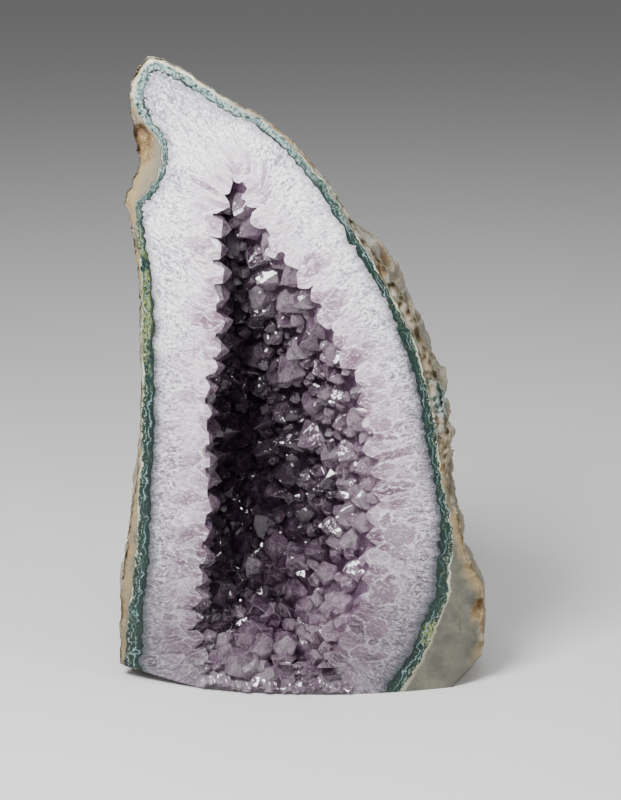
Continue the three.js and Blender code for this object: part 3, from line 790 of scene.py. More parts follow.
def amethystMaterial():
    # "rise" is how far a place is above the wall it grew from, "tint" is the shade of each face,
    # "edge" is 1 on the narrow faces along a point's edges, and "deep" runs from 0 at the cut face
    # to 1 at the back of the hollow
    look = amethystLook
    n = Nodes("amethyst")
    rise, tint, edge, deep = (n.attribute(name) for name in ("rise", "tint", "edge", "deep"))
    place = n.place()
    zoning = n.noise(place, 260, 4, 0.6)
    cloud = n.noise(place, 45, 2)
    # painted shade: the points darken the deeper they lie in the hollow
    shade = n.plus(deep, n.swing(cloud, 0.5))
    shade = n.minus(shade, n.swing(tint, 0.5))
    # paler points at the lower right and painted light along the right wall; painted shade darker over the
    # rest of the lower half
    for middle, half, toneLightAndShade in look["pale"]:
        near = n.between(n.oval(middle, half), 0.5, 1.1, toneLightAndShade, 0.0)
        shade = n.minus(shade, near)
    frontShare = n.between(shade, 0.1, 0.6, 1.0, 0.15)
    colour = n.ramp(shade, [(0.0, look["front"]), (0.24, look["middle"]), (0.62, look["deep"])])
    colour = n.mix(n.between(zoning, 0.47, 0.6, 0.0, 0.55), colour, look["zone"])
    veils = n.noise(n.vectors("MULTIPLY", place, (1.0, 1.0, 0.5)), 460, 5, 0.7, 0.9)
    colour = n.mix(n.times(n.between(veils, 0.5, 0.6, 0.0, 0.85), frontShare), colour, look["veilAndHighlight"])
    # fine flaws inside the points, a painted highlight along their edges, and painted shade in the valleys
    # between them
    flaws = n.noise(place, 1300, 4, 0.75, 0.4)
    colour = n.mix(n.times(n.between(flaws, 0.53, 0.6, 0.0, 0.8), frontShare), colour, look["veilAndHighlight"])
    colour = n.mix(n.between(flaws, 0.47, 0.4, 0.0, 0.6), colour, look["zone"])
    # painted highlight on the narrow edge faces
    colour = n.mix(n.times(edge, n.between(shade, 0.05, 0.6, 0.6, 0.1)), colour, look["veilAndHighlight"])
    # painted shade low down between the points
    sunk = n.between(n.plus(rise, n.swing(zoning, 6.0)), 1.0, 5.0, 0.6, 0.0)
    colour = n.mix(n.times(sunk, n.between(deep, 0.03, 0.12)), colour, look["gap"])
    n.give("Base Color", colour)
    n.give("Roughness", n.between(zoning, 0.35, 0.7, 0.02, 0.1))
    n.give("IOR", look["ior"])
    n.give("Transmission Weight", look["clearness"])
    relief = n.bump(zoning, 0.15, 0.0004)
    pitted = n.times(n.noise(place, 1500, 2), n.between(cloud, 0.42, 0.58))
    relief = n.bump(pitted, 0.25, 0.0003, relief)
    # small growth faces, each tilted its own way, that glint
    tilted = n.shaken(relief, n.cells(place, 620, output="Color"), look["tilt"])
    n.give("Normal", n.vectors("NORMALIZE", tilted))
    absorb = n.add("ShaderNodeVolumeAbsorption")
    absorb.inputs["Color"].default_value = (*look["absorbed"], 1)
    absorb.inputs["Density"].default_value = look["absorption"]
    n.tree.links.new(absorb.outputs[0], n.output.inputs["Volume"])
    return n.material


def rootQuartzMaterial():
    # the quartz that the points stand on, seen only through them, with painted shade: darker the deeper it
    # lies in the hollow, and dark behind the sill
    look = amethystLook
    n = Nodes("quartzRoots")
    colour = n.ramp(n.attribute("deep"), [(0.0, look["root"]), (0.12, look["middle"]), (0.5, look["deep"])])
    place = n.place()
    # painted shadow low down behind the sill's points
    colour = n.mix(n.between(n.split(place)[2], 0.012, 0.03, 0.97, 0.0), colour, look["gap"])
    patches = n.between(n.noise(place, 300, 3), 0.4, 0.7, 0.0, 0.4)
    n.give("Base Color", n.mix(patches, colour, look["deep"]))
    n.give("Roughness", 0.5)
    n.give("Normal", n.bump(n.noise(place, 400, 3), 0.4, 0.0005))
    return n.material


cutQuartz = cutQuartzMaterial()
greenBand = greenBandMaterial()
sawnBasalt = sawnBasaltMaterial()
weatheredBasalt = weatheredBasaltMaterial()
amethyst = amethystMaterial()
quartzRoots = rootQuartzMaterial()

print("outlines")

# How fine the outlines are, and how they ripple: see ripple and lobes above.
grain = {"perRow": 16, "mouthPerRow": 20, "mouthCount": 1400, "driftSpread": 12, "edgeOut": -0.1,
         "edgeSeed": 3, "bandSeed": 5, "quartzSeed": 8, "lobeSeed": 9,
         "bandRipple": ((30, 120, 14, 0.4), (120, 300, 14, 0.22)), "lobes": (150, 1.5),
         "edgeRipple": ((20, 70, 10, 0.35), (70, 300, 20, 0.3)),
         # larger lobes of the band at the upper and the lower right: x, z, radius, how far they stand in
         "largeLobes": ((54.5, 171, 5.5, 2.8), (59, 161, 6.5, 3.2), (77, 58, 7, 2.0), (80, 30, 9, 2.2))}
perRow = grain["perRow"]
count = len(stoneOutline) * perRow


def withSoft(points, rowLength):
    # an outline on the cut face, and what is left of it deep in the stone
    return points, softened(points, rowLength)


def nearestOn(line, points):
    # for each place the nearest point of a closed line and how far off it is
    tree = kdtree.KDTree(len(line))
    for i, (x, z) in enumerate(line):
        tree.insert((x, z, 0), i)
    tree.balance()
    found = [tree.find((x, z, 0))[1:] for x, z in points]
    return np.array([item[0] for item in found]), np.array([item[1] for item in found])


def matched(outer, inner):
    # the inner closed line walked so that each of its points faces the same point of the outer one
    length = len(inner[0])
    steps = nearestOn(inner[0], outer)[0].astype(float)
    evenSteps = np.arange(len(steps)) / len(steps) * length
    steps = np.maximum.accumulate(np.where(steps - evenSteps > length / 2, steps - length, steps))
    drift = steps - evenSteps
    drift = softened(np.stack([drift, drift], axis=1), grain["driftSpread"])[:, 0]
    walk = drift + evenSteps
    result = []
    for points in inner:
        closed = np.vstack([points, points, points, points[:1]])
        result.append(np.stack([np.interp(walk + length, np.arange(len(closed)), closed[:, k])
                                for k in (0, 1)], axis=1))
    return tuple(result)


baseRow, mouthBaseRow = 22, 16      # the rows under the base, where the outlines are joined
stoneOutline = stoneOutline[baseRow:] + stoneOutline[:baseRow]
rockEdge = curveThrough(stoneOutline, perRow)
bandRows = insetRows(stoneOutline, 2)
bandEdge = curveThrough(bandRows, perRow)
quartzEdge = curveThrough(insetRows(bandRows, 3), perRow)
rippled = ripple(count, grain["edgeSeed"], grain["edgeRipple"]) + grain["edgeOut"]
rockEdge = rockEdge + normalsOf(rockEdge) * rippled[:, None]
rippled = ripple(count, grain["bandSeed"], grain["bandRipple"])
bandEdge = bandEdge + normalsOf(bandEdge) * rippled[:, None]
lobed = ripple(count, grain["quartzSeed"], grain["bandRipple"])
lobed = lobed - lobes(count, grain["lobeSeed"], *grain["lobes"])
for x, z, radius, height in grain["largeLobes"]:
    lobed -= height * smooth(1.2 - np.hypot(quartzEdge[:, 0] - x, quartzEdge[:, 1] - z) / radius)
quartzEdge = quartzEdge + normalsOf(quartzEdge) * lobed[:, None]
rockLine, bandLine, quartzLine = (withSoft(edge, perRow) for edge in (rockEdge, bandEdge, quartzEdge))
mouthCurve = curveThrough(mouthOutline[mouthBaseRow:] + mouthOutline[:mouthBaseRow], grain["mouthPerRow"])
mouthEven = withSoft(evenly(mouthCurve, grain["mouthCount"]), grain["mouthCount"] / len(mouthOutline))
mouthLine = matched(quartzEdge, mouthEven)
edgeArc = np.concatenate([[0], np.cumsum(np.linalg.norm(np.diff(quartzEdge, axis=0), axis=1))])

print("basalt rind")

rind = {"rings": (92, 14), "faceRows": 14, "leftBulge": 2.5, "bulgeZ": (-60, 215), "calmHeld": 0.85,
        "lump": 2.3, "lift": 1.2, "chip": 0.9, "fadeIn": 0.16, "calmAbove": 215, "calmBy": 0.6,
        "rough": 1.3, "roughSize": 11.0, "fine": 0.45, "fineSize": 2.6,
        "facetSize": 17.0, "facetStep": 1.5, "facetTilt": 0.3, "insideBox": 0.1,
        "edgeWear": 1.3, "edgeWidth": 3.0, "mostWorn": 6, "faceFade": 3,
        "holes": 150, "holeSeed": 31, "holeRadius": (1.6, 4.2), "holeDepth": 0.5}
# How far the rough right flank stands out just behind the cut face: height, millimetres.
flank = [(98, 0), (128, -0.5), (142, 1.5), (155, 2.2), (179, 2.4), (189, 3), (200, 5.5), (210, 7.5),
         (217, 7.5), (225, 2.5), (232, 0)]
# How far the whole right side bulges behind it: height, millimetres.
rightBulge = [(-60, 6), (30, 5), (70, 3), (100, 2), (150, 2.5), (180, 5), (215, 5)]
# Pits in the flank: x, y, z, radius, depth.
flankPits = [(41, -38, 206, 5, 3), (52, -38, 188, 4.5, 3), (63, -36, 159, 6, 4), (70, -42, 136, 4.5, 2.5)]
# Dents in the sawn face: x, z, half width, half height, depth, how far broken.
dents = [(86.5, 37.5, 4.5, 6.5, 2.4, 0.4), (86, 16, 7, 8, 1.6, 0.0), (-84.5, 33, 3, 9, 1.2, 0.4),
         (-73, 262, 6.0, 9.5, 4.5, 1.0)]


def facets(at):
    # broken faces of the rock: each cell is a flat chip at its own height and tilt
    at = at / rind["facetSize"]
    gaps, middles = noise.voronoi(at)
    way = noise.cell_vector(middles[0] * 11) * 2 - Vector((1, 1, 1))
    height = rind["facetStep"] * way.z + rind["facetTilt"] * (at - middles[0]).dot(way) * rind["facetSize"]
    return float(smooth((gaps[1] - gaps[0]) * 5)) * height


def weather(points, back, outline):
    # out to the bulging flanks, then by lumps, chips and roughness that fade towards the cut face
    x0, z0 = outline[:, 0], outline[:, 1]
    bulge = np.where(x0 > 0, np.interp(z0, *zip(*rightBulge)) * smooth((x0 - 22) / 34),
                     rind["leftBulge"] * smooth(-x0 / 40))
    tall = smooth((rind["bulgeZ"][1] - z0) / 30) * smooth((z0 - rind["bulgeZ"][0]) / 40)
    x, y, z = points[:, 0].copy(), points[:, 1].copy(), points[:, 2].copy()
    x += np.sign(x0) * bulge * tall * math.sin(math.pi * min(1, back * 1.25))
    early = float(smooth(back / 0.13) * (1 - smooth((back - 0.3) / 0.5)))
    # the upper left flank and the thin upper right rim stay behind the cut edge
    hold = (x0 < 0) * smooth((z0 - 92) / 20) * smooth((252 - z0) / 20) * (1 - smooth((back - 0.3) / 0.3))
    rim = smooth((z0 - 218) / 10) * smooth((x0 + 68) / 8) * (1 - smooth((back - 0.2) / 0.3))
    hold = np.maximum(hold, rim)
    x += np.interp(z0, *zip(*flank)) * smooth(x0 / 12) * early
    lump = (np.sin(x * 0.085 + 1.1) * np.cos(z * 0.072 + y * 0.05)
            + 0.6 * np.sin(z * 0.16 + x * 0.09 + 0.4) * np.sin(y * 0.13 + 0.8))
    chip = np.sin(x * 0.31 + z * 0.23) * np.sin(y * 0.27 - z * 0.19 + 1.7)
    calm = 1 - rind["calmBy"] * smooth((z - rind["calmAbove"]) / 40)
    fade = calm * smooth(back / rind["fadeIn"])
    away = np.stack([x - rockForm["middle"][0], (y - cutFace["y"]) * 0.6, z - rockForm["middle"][1]], axis=1)
    away /= np.linalg.norm(away, axis=1)[:, None]
    push = fade * (rind["lump"] * lump + rind["lift"] + rind["chip"] * chip)
    roughFade = float(smooth(back / 0.04))
    rough = np.zeros(len(points))
    for i in range(len(points)):
        at = Vector((x[i], y[i], z[i]))
        rough[i] = rind["rough"] * noise.fractal(at / rind["roughSize"], 0.8, 2.1, 4)
        rough[i] += rind["fine"] * noise.noise(at / rind["fineSize"]) + facets(at) * calm[i]
    push = (push + roughFade * rough) * (1 - rind["calmHeld"] * hold) - 0.6 * hold * smooth(back / 0.06)
    return np.stack([x, y, z], axis=1) + away * push[:, None], rough


def sinkHoles(points, relief):
    # small round holes where gas bubbles were, all over the weathered outside, and the flank's pits
    draw = np.random.default_rng(rind["holeSeed"])
    away = points - np.array([rockForm["middle"][0], -20, rockForm["middle"][1]])
    away /= np.linalg.norm(away, axis=1)[:, None]
    drawn = draw.integers(0, len(points), rind["holes"]), draw.uniform(*rind["holeRadius"], rind["holes"])
    holes = [(points[index].copy(), radius, radius * rind["holeDepth"]) for index, radius in zip(*drawn)]
    for x, y, z, radius, depth in flankPits:
        nearest = np.argmin(np.linalg.norm(points - np.array([x, y, z]), axis=1))
        holes.append((points[nearest].copy(), radius, depth))
    for place, radius, depth in holes:
        gap = np.linalg.norm(points - place, axis=1) / radius
        inside = gap < 1
        sink = depth * (1 - gap[inside] ** 2) ** 0.7
        points[inside] -= away[inside] * sink[:, None]
        relief[inside] -= sink


def wearFace(points, fromEdge):
    # the sawn face is chipped at its outer edge, and broken away where the rim is rough
    x, z = points[:, 0], points[:, 2]
    rough = smooth((z - 106) / 10) * smooth((246 - z) / 14) * (x > 0)
    wide = np.where((z < 60) & (x > 60), 2.0, 1.0)
    chips = np.array([noise.fractal(Vector((a / 5, b / 5, 2.0)), 0.8, 2.1, 4) for a, b in zip(x, z)])
    edge = smooth(1 - fromEdge / (rind["edgeWidth"] * wide))
    sink = rind["edgeWear"] * edge * (1 + 1.2 * chips) + rough * (1.4 + 2.6 * chips)
    worn = np.maximum(rough, edge * 0.6)
    for dx, dz, halfWidth, halfHeight, depth, broken in dents:
        inside = smooth(1.4 - 1.4 * np.hypot((x - dx) / halfWidth, (z - dz) / halfHeight))
        sink += inside * depth * (1 + 0.5 * chips * broken)
        worn = np.maximum(worn, inside * broken)
    return np.clip(sink, 0, rind["mostWorn"]), worn


def makeRind():
    rings, faceRows = rind["rings"][0], rind["faceRows"]
    rows, _, poles = layerGrid(rockForm, rockLine, bandForm, bandLine, rind["rings"], faceRows)
    turns = list(reversed(turnsTo(rings)))
    relief = np.zeros(len(rows) * count + 2)
    for r in range(rings):
        rows[r], relief[r * count:(r + 1) * count] = weather(rows[r], turns[r] / (math.pi / 2), rockEdge)
    poles[0] = weather(poles[0], 1.0, rockEdge[:1])[0]
    points = np.vstack([rows.reshape(-1, 3)] + poles)
    faceStart, faceEnd = (rings - 1) * count, (rings + faceRows) * count
    fromEdge = nearestOn(rockEdge, points[:, [0, 2]])[1]
    outside = (rings - 4) * count
    sinkHoles(points[:outside], relief[:outside])
    worn = np.ones(len(points))
    face = slice(faceStart, faceEnd - count)
    sink, worn[face] = wearFace(points[face], fromEdge[face])
    hold = np.repeat(np.minimum(1, (faceRows - np.arange(faceRows)) / rind["faceFade"]), count)
    points[face, 1] += sink * hold
    worn[face] *= hold
    relief[face] -= sink * 0.5
    low, high = (np.array(corner) / mm + (stoneCentre["x"], stoneCentre["y"], 0) for corner in cadBounds)
    low, high = low + rind["insideBox"], high - rind["insideBox"]
    points[:, :2] = np.clip(points[:, :2], low[:2], high[:2])
    points[:, 2] = np.minimum(points[:, 2], high[2])
    mesh = meshFrom("basaltRind", points, gridFaces(len(rows), count))
    for name, values in (("fromEdge", fromEdge), ("worn", worn), ("relief", relief)):
        setValues(mesh, name, values)
    slotOf = np.zeros(len(mesh.polygons), int)
    slotOf[faceStart:(rings + faceRows - 1) * count] = 1
    mesh.polygons.foreach_set("material_index", slotOf)
    sawBase(mesh)
    mesh.shade_smooth()
    return piece("basaltRind", mesh, "basalt_rind", [weatheredBasalt, sawnBasalt])


makeRind()

print("green band")


def depthShare(points):
    back = points[:, 1] - faceY(points[:, 0], points[:, 2])
    return np.clip(back / hollowForm["depth"], 0, 1)


def sliceField(points):
    # how far each place is from the nearest large sliced point, in millimetres, and how dark that is
    x, z = points[:, 0], points[:, 2]
    gap, tone = np.full(len(points), 20.0), np.zeros(len(points))
    for middleX, middleZ, halfWidth, halfHeight, dark in quartzLook["slices"]:
        away = np.hypot((x - middleX) / halfWidth, (z - middleZ) / halfHeight) - 1
        away *= min(halfWidth, halfHeight)
        tone = np.where(away < gap, dark, tone)
        gap = np.minimum(gap, away)
    return gap, tone


def quartzValues(mesh, points, along, toMouth):
    # what the materials of the band and the quartz read
    gap, tone = sliceField(points)
    inward = nearestOn(quartzEdge, points[:, [0, 2]])[1]
    for name, values in (("along", along), ("inward", inward), ("toMouth", toMouth),
                         ("deep", depthShare(points)), ("slice", gap), ("sliceTone", tone)):
        setValues(mesh, name, values)


def flatFace(mesh):
    # smooth all over, with crisp facets on the sawn plane
    mesh.shade_smooth()
    for polygon in mesh.polygons:
        if polygon.normal.y < -0.95:
            polygon.use_smooth = False


def makeLayer(name, outerForm, outer, innerForm, inner, rings, faceRows, node, materials):
    rows, onFace, poles = layerGrid(outerForm, outer, innerForm, inner, rings, faceRows)
    points = np.vstack([rows.reshape(-1, 3)] + poles)
    mesh = meshFrom(name, points, gridFaces(len(rows), count))
    setValues(mesh, "across", np.append(np.repeat(onFace, count), (0, 1)))
    along = np.append(np.tile(edgeArc, len(rows)), (0, 0))
    quartzValues(mesh, points, along, nearestOn(mouthEven[0], points[:, [0, 2]])[1])
    if len(materials) > 1:
        behind = np.arange(len(mesh.polygons)) >= (rings[0] + faceRows - 1) * count
        mesh.polygons.foreach_set("material_index", behind.astype(int))
    sawBase(mesh)
    flatFace(mesh)
    return piece(name, mesh, node, materials)


makeLayer("greenBand", bandForm, bandLine, quartzForm, quartzLine, (14, 14), 8,
          "green_band", [greenBand])

print("quartz wall")

makeLayer("quartzWall", quartzForm, quartzLine, hollowForm, mouthLine, (14, 20), 24,
          "quartz_wall", [cutQuartz, quartzRoots])

print("amethyst crust")

rimPoints = {"tries": 400, "turn": (0.03, 0.06), "spacing": 10.5, "radius": (5, 6.6),
             "shoulder": (3, 6.5), "lean": 0.16}
wallPoints = {"tries": 4000, "spacing": (11, 15.5), "radius": (0.54, 0.7), "shoulder": (2.5, 6),
              "lean": 0.22}
smallPoints = {"tries": 2600, "spacing": 5.6, "radius": (2.2, 4.6), "shoulder": (4.0, 7.5), "lean": 0.5,
               "seed": 77}
toothPoints = {"tries": 700, "turn": (0.015, 0.09), "spacing": 7.0, "radius": (2.6, 4.8),
               "shoulder": (4.0, 8.5), "lean": 0.4, "longEvery": 3, "longRadius": (5.2, 7.8),
               "longShoulder": (7.0, 12.0)}
pointShape = {"stretch": (0.86, 1.12), "slope": 0.25, "tipHeight": (1.02, 1.2), "root": 1.6, "edge": 0.22,
              "facetShade": 0.4, "facetWay": Vector((23.0, 41.0, 17.0))}
# The recess behind the sill's points runs over sillSpan, up to sillTop and back by sillBack.
crust = {"seed": 20, "lining": 4.2, "seam": 0.25, "seamFade": 0.1, "setBack": 1.4, "front": -64.1,
         "sillSeed": 91, "sillShade": (0.75, 1.0), "sillSpan": (-46, 20.1), "sillTop": 13.5, "sillBack": 5,
         "apronZ": (0.3, 60), "rings": 26, "everyMouthPoint": 4, "strip": 1.5, "span": (-75, 60.1),
         "grid": 3.0, "gridX": (-70, 60), "gridZ": (0, 262)}

# Whole points on the sill: x, how far behind the cut face, z, radius, shoulder height, the way it leans.
sillPoints = [
    (-40, 8, 9, 6.2, 6, (0.25, -0.55, 0.8)), (-27, 8, 9, 9.0, 8, (-0.1, -0.75, 0.6)),
    (-14, 7, 5, 6.4, 6, (0.15, -0.8, 0.35)), (-5, 6, 5, 5.6, 5, (-0.25, -0.8, 0.3)),
    (5, 8.5, 6, 7.4, 5, (0.1, -0.8, 0.4)), (-19, 15, 10, 7.4, 12, (0.1, -0.5, 0.85)),
    (-34, 14, 11, 6.6, 9, (-0.1, -0.35, 0.9)), (-8, 16, 12, 7.0, 11, (0.1, -0.55, 0.8)),
    (15, 7, 7, 6.2, 5, (0.25, -0.8, 0.35)),
]

# More of them, over the foot of the hollow: x, how far behind the cut face and z of the tip, radius,
# shoulder height, the way it leans.
sillTips = [
    (-26, -3.2, 11.5, 9.0, 10, (-0.05, -0.95, 0.12)), (-25, 5, 28, 6.8, 9, (0.0, -0.8, 0.55)),
    (-37, 3, 19, 5.2, 8, (-0.35, -0.8, 0.35)), (-42, 5, 24, 4.5, 7, (0.2, -0.85, 0.3)),
    (-34, 0, 9, 4.6, 7, (-0.3, -0.9, 0.1)), (-14, -1.6, 5, 4.4, 6, (-0.15, -0.95, -0.1)),
    (-7, -1.2, 4.6, 4.2, 6, (0.15, -0.95, -0.1)), (-17, 1, 12, 5.0, 7, (0.2, -0.9, 0.3)),
    (-7, 3, 18, 6.0, 9, (0.05, -0.85, 0.45)), (0, 1, 11, 4.8, 7, (-0.2, -0.9, 0.2)),
    (4.5, -1.4, 6.5, 5.6, 7, (0.1, -0.95, 0.05)), (12, -1.0, 6, 4.6, 6, (0.2, -0.9, 0.05)),
    (17, -0.8, 12, 5.6, 8, (-0.2, -0.9, 0.2)), (22, -0.5, 6, 4.2, 6, (-0.3, -0.9, 0.0)),
    (-44, -1, 10, 4.0, 6, (0.3, -0.9, 0.0)), (-40, -1.5, 4.5, 3.8, 5, (0.1, -0.95, -0.1)),
    (-33, -2.0, 4, 4.2, 5, (-0.1, -0.95, -0.15)), (-20, -2.2, 4.2, 3.8, 5, (0.1, -0.95, -0.15)),
    (8, 5, 16, 5.6, 9, (0, -0.85, 0.4)), (-47, 1, 15, 3.8, 6, (0.4, -0.85, 0.1)),
    (19.5, -1.4, 15, 5.8, 8, (-0.25, -0.9, 0.25)), (-45.5, -1.6, 13.5, 4.6, 7, (0.25, -0.9, 0.2)),
    (18.5, -1.6, 10.8, 6.4, 8, (-0.12, -0.95, 0.2)),
]

foot = {"span": (-45, 24), "step": 3.4, "aside": 1.0, "z": (1.4, 4.4), "radius": (3.2, 5.2), "most": 3.4,
        "short": 0.2, "reach": (0.8, 1.0), "shoulder": 5, "way": (0.25, -0.95, -0.12)}

# Large pale points that stand out from the wall: x, how far behind the cut face and z of the tip,
# radius, shoulder height, the way it leans.
tallPoints = [
    (3, 16, 37, 6.8, 12, (-0.1, -0.85, 0.4)), (15.5, 13, 37, 6.8, 12, (-0.1, -0.85, 0.35)),
    (7, 11, 27, 8.4, 12, (-0.2, -0.85, 0.35)), (19, 8, 25, 4.6, 9, (-0.15, -0.85, 0.45)),
    (28, 5, 24, 6.6, 9, (-0.4, -0.8, 0.3)), (12, 8, 17, 7.0, 9, (-0.1, -0.85, 0.45)),
    (15.5, 5, 10.5, 6.2, 7, (0.05, -0.8, 0.45)), (31, 6, 36, 6.6, 9, (-0.5, -0.75, 0.2)),
    (22, 12, 43, 6.0, 10, (-0.3, -0.85, 0.2)), (31, 9, 53, 6.6, 10, (-0.55, -0.75, 0.15)),
    (25, 16, 60, 6.4, 12, (-0.45, -0.8, 0.2)), (30, 11, 68, 5.8, 10, (-0.6, -0.75, 0.1)),
    (-16, 20, 187, 7.8, 14, (0.05, -0.95, 0.1)), (15, 26, 129, 5.8, 12, (-0.3, -0.9, 0.1)),
    (22, 20, 103, 6.4, 12, (-0.4, -0.85, 0.1)), (10, 34, 84, 7.2, 12, (-0.2, -0.9, 0.2)),
    (29, 14, 80, 6.2, 11, (-0.5, -0.8, 0.1)), (-4, 34, 53, 7.4, 12, (0.0, -0.9, 0.3)),
    (-12, 22, 33, 6.6, 10, (0.1, -0.85, 0.45)), (12, 24, 50, 6.2, 10, (-0.2, -0.9, 0.25)),
]


def seededRandom(seed):
    state = [seed]

    def draw():
        state[0] = (state[0] + 0x6D2B79F5) & 0xFFFFFFFF
        t = state[0]
        t = ((t ^ (t >> 15)) * (t | 1)) & 0xFFFFFFFF
        t ^= (t + ((t ^ (t >> 7)) * (t | 61) & 0xFFFFFFFF)) & 0xFFFFFFFF
        return ((t ^ (t >> 14)) & 0xFFFFFFFF) / 4294967296
    return draw


def between(span, draw):
    return lerp(span[0], span[1], draw())


def eitherWay(most, draw):
    return most * (2 * draw() - 1)


mouthRows = withSoft(np.array(mouthOutline, float), 1)


def hollowSurface(along, turn):
    i = math.floor(along)
    a, b = i % len(mouthOutline), (i + 1) % len(mouthOutline)
    line = [lerp(rows[a], rows[b], along - i)[None] for rows in mouthRows]
    return Vector(surfaceRing(hollowForm, line, turn)[0])


def wallAt(along, turn):
    step = 0.02
    sideways = hollowSurface(along + 1, turn) - hollowSurface(along - 1, turn)
    deeper = hollowSurface(along, min(math.pi / 2, turn + step))
    inwards = deeper - hollowSurface(along, max(0, turn - step))
    return hollowSurface(along, turn), sideways.cross(inwards).normalized()


def quartzPoint(radius, shoulder, draw):
    # a six-sided prism with three large and three small faces at its tip and narrow faces for edges
    stretch = between(pointShape["stretch"], draw)
    slope = (eitherWay(pointShape["slope"], draw), eitherWay(pointShape["slope"], draw))
    tipZ = shoulder + radius * between(pointShape["tipHeight"], draw)
    bm = bmesh.new()
    onEdge = bm.faces.layers.int.new("onEdge")
    rings = []
    for z in (pointShape["root"], tipZ + 1):
        rings.append([bm.verts.new((radius * stretch * math.cos(k * math.pi / 3),
                                    radius / stretch * math.sin(k * math.pi / 3), z)) for k in range(6)])
    bm.faces.new(reversed(rings[0]))
    bm.faces.new(rings[1])
    for k in range(6):
        n = (k + 1) % 6
        bm.faces.new((rings[0][k], rings[0][n], rings[1][n], rings[1][k]))
    tip = Vector((-slope[0] * radius * 0.3, -slope[1] * radius * 0.3, tipZ))
    for k in range(6):
        turn = (k + 0.5) * math.pi / 3
        across = 0.866 * radius
        steep = math.atan2(tipZ - shoulder, across)
        out = Vector((math.cos(turn) * math.sin(steep), math.sin(turn) * math.sin(steep), math.cos(steep)))
        out += Vector((slope[0], slope[1], 0)) * 0.35
        uneven = 0.4 + 0.6 * abs(math.sin(7 * radius))
        lift = 0.0 if k % 2 == 0 else 0.28 * radius * math.cos(steep) * uneven
        place = tip + out.normalized() * lift
        cut = bmesh.ops.bisect_plane(bm, geom=bm.verts[:] + bm.edges[:] + bm.faces[:], plane_co=place,
                                     plane_no=out, clear_outer=True)
        edges = [e for e in cut["geom_cut"] if isinstance(e, bmesh.types.BMEdge)]
        if len(edges) > 2:
            bmesh.ops.contextual_create(bm, geom=edges)
    bmesh.ops.remove_doubles(bm, verts=bm.verts, dist=0.02)
    edgeFaces = bmesh.ops.bevel(bm, geom=bm.edges[:], offset=pointShape["edge"], segments=1, profile=0.5,
                                affect="EDGES", clamp_overlap=True)["faces"]
    for face in edgeFaces:
        face[onEdge] = 1
    bmesh.ops.triangulate(bm, faces=bm.faces)
    bmesh.ops.recalc_face_normals(bm, faces=bm.faces)
    return bm


def placedPoint(place, normal, radius, shoulder, lean, draw, collection, tint):
    bm = quartzPoint(radius, shoulder, draw)
    spin = Quaternion((0, 0, 1), draw() * math.pi)
    aside = Vector([eitherWay(lean, draw) for _ in range(3)])
    turn = Vector((0, 0, 1)).rotation_difference((aside + normal).normalized())
    whole = all(edge.is_manifold for edge in bm.edges)
    heights = [vert.co.z for vert in bm.verts]
    bm.normal_update()
    shades = [tint + pointShape["facetShade"] * math.sin(face.normal.dot(pointShape["facetWay"]))
              for face in bm.faces]
    onEdge = bm.faces.layers.int["onEdge"]
    edges = [face[onEdge] for face in bm.faces]
    bm.faces.layers.int.remove(onEdge)
    for vert in bm.verts:
        vert.co = Vector(toMetres([turn @ (spin @ vert.co) + place])[0])
    mesh = bpy.data.meshes.new("quartzPoint")
    bm.to_mesh(mesh)
    bm.free()
    if not whole or len(mesh.polygons) < 8:
        return
    setValues(mesh, "rise", heights)
    setValues(mesh, "tint", shades, "FACE")
    setValues(mesh, "edge", edges, "FACE")
    thing = bpy.data.objects.new("quartzPoint", mesh)
    collection.objects.link(thing)


def footTips(draw):
    # small points that hang over the lower edge of the cut quartz, where the hollow meets the base
    rows = []
    for x in np.arange(*foot["span"], foot["step"]):
        z, radius = between(foot["z"], draw), between(foot["radius"], draw)
        reach = min(foot["most"], faceY(x, z) - crust["front"] - foot["short"])
        reach *= between(foot["reach"], draw)
        way = (eitherWay(foot["way"][0], draw), *foot["way"][1:])
        rows.append((x + eitherWay(foot["aside"], draw), -reach, z, radius, foot["shoulder"], way))
    return rows


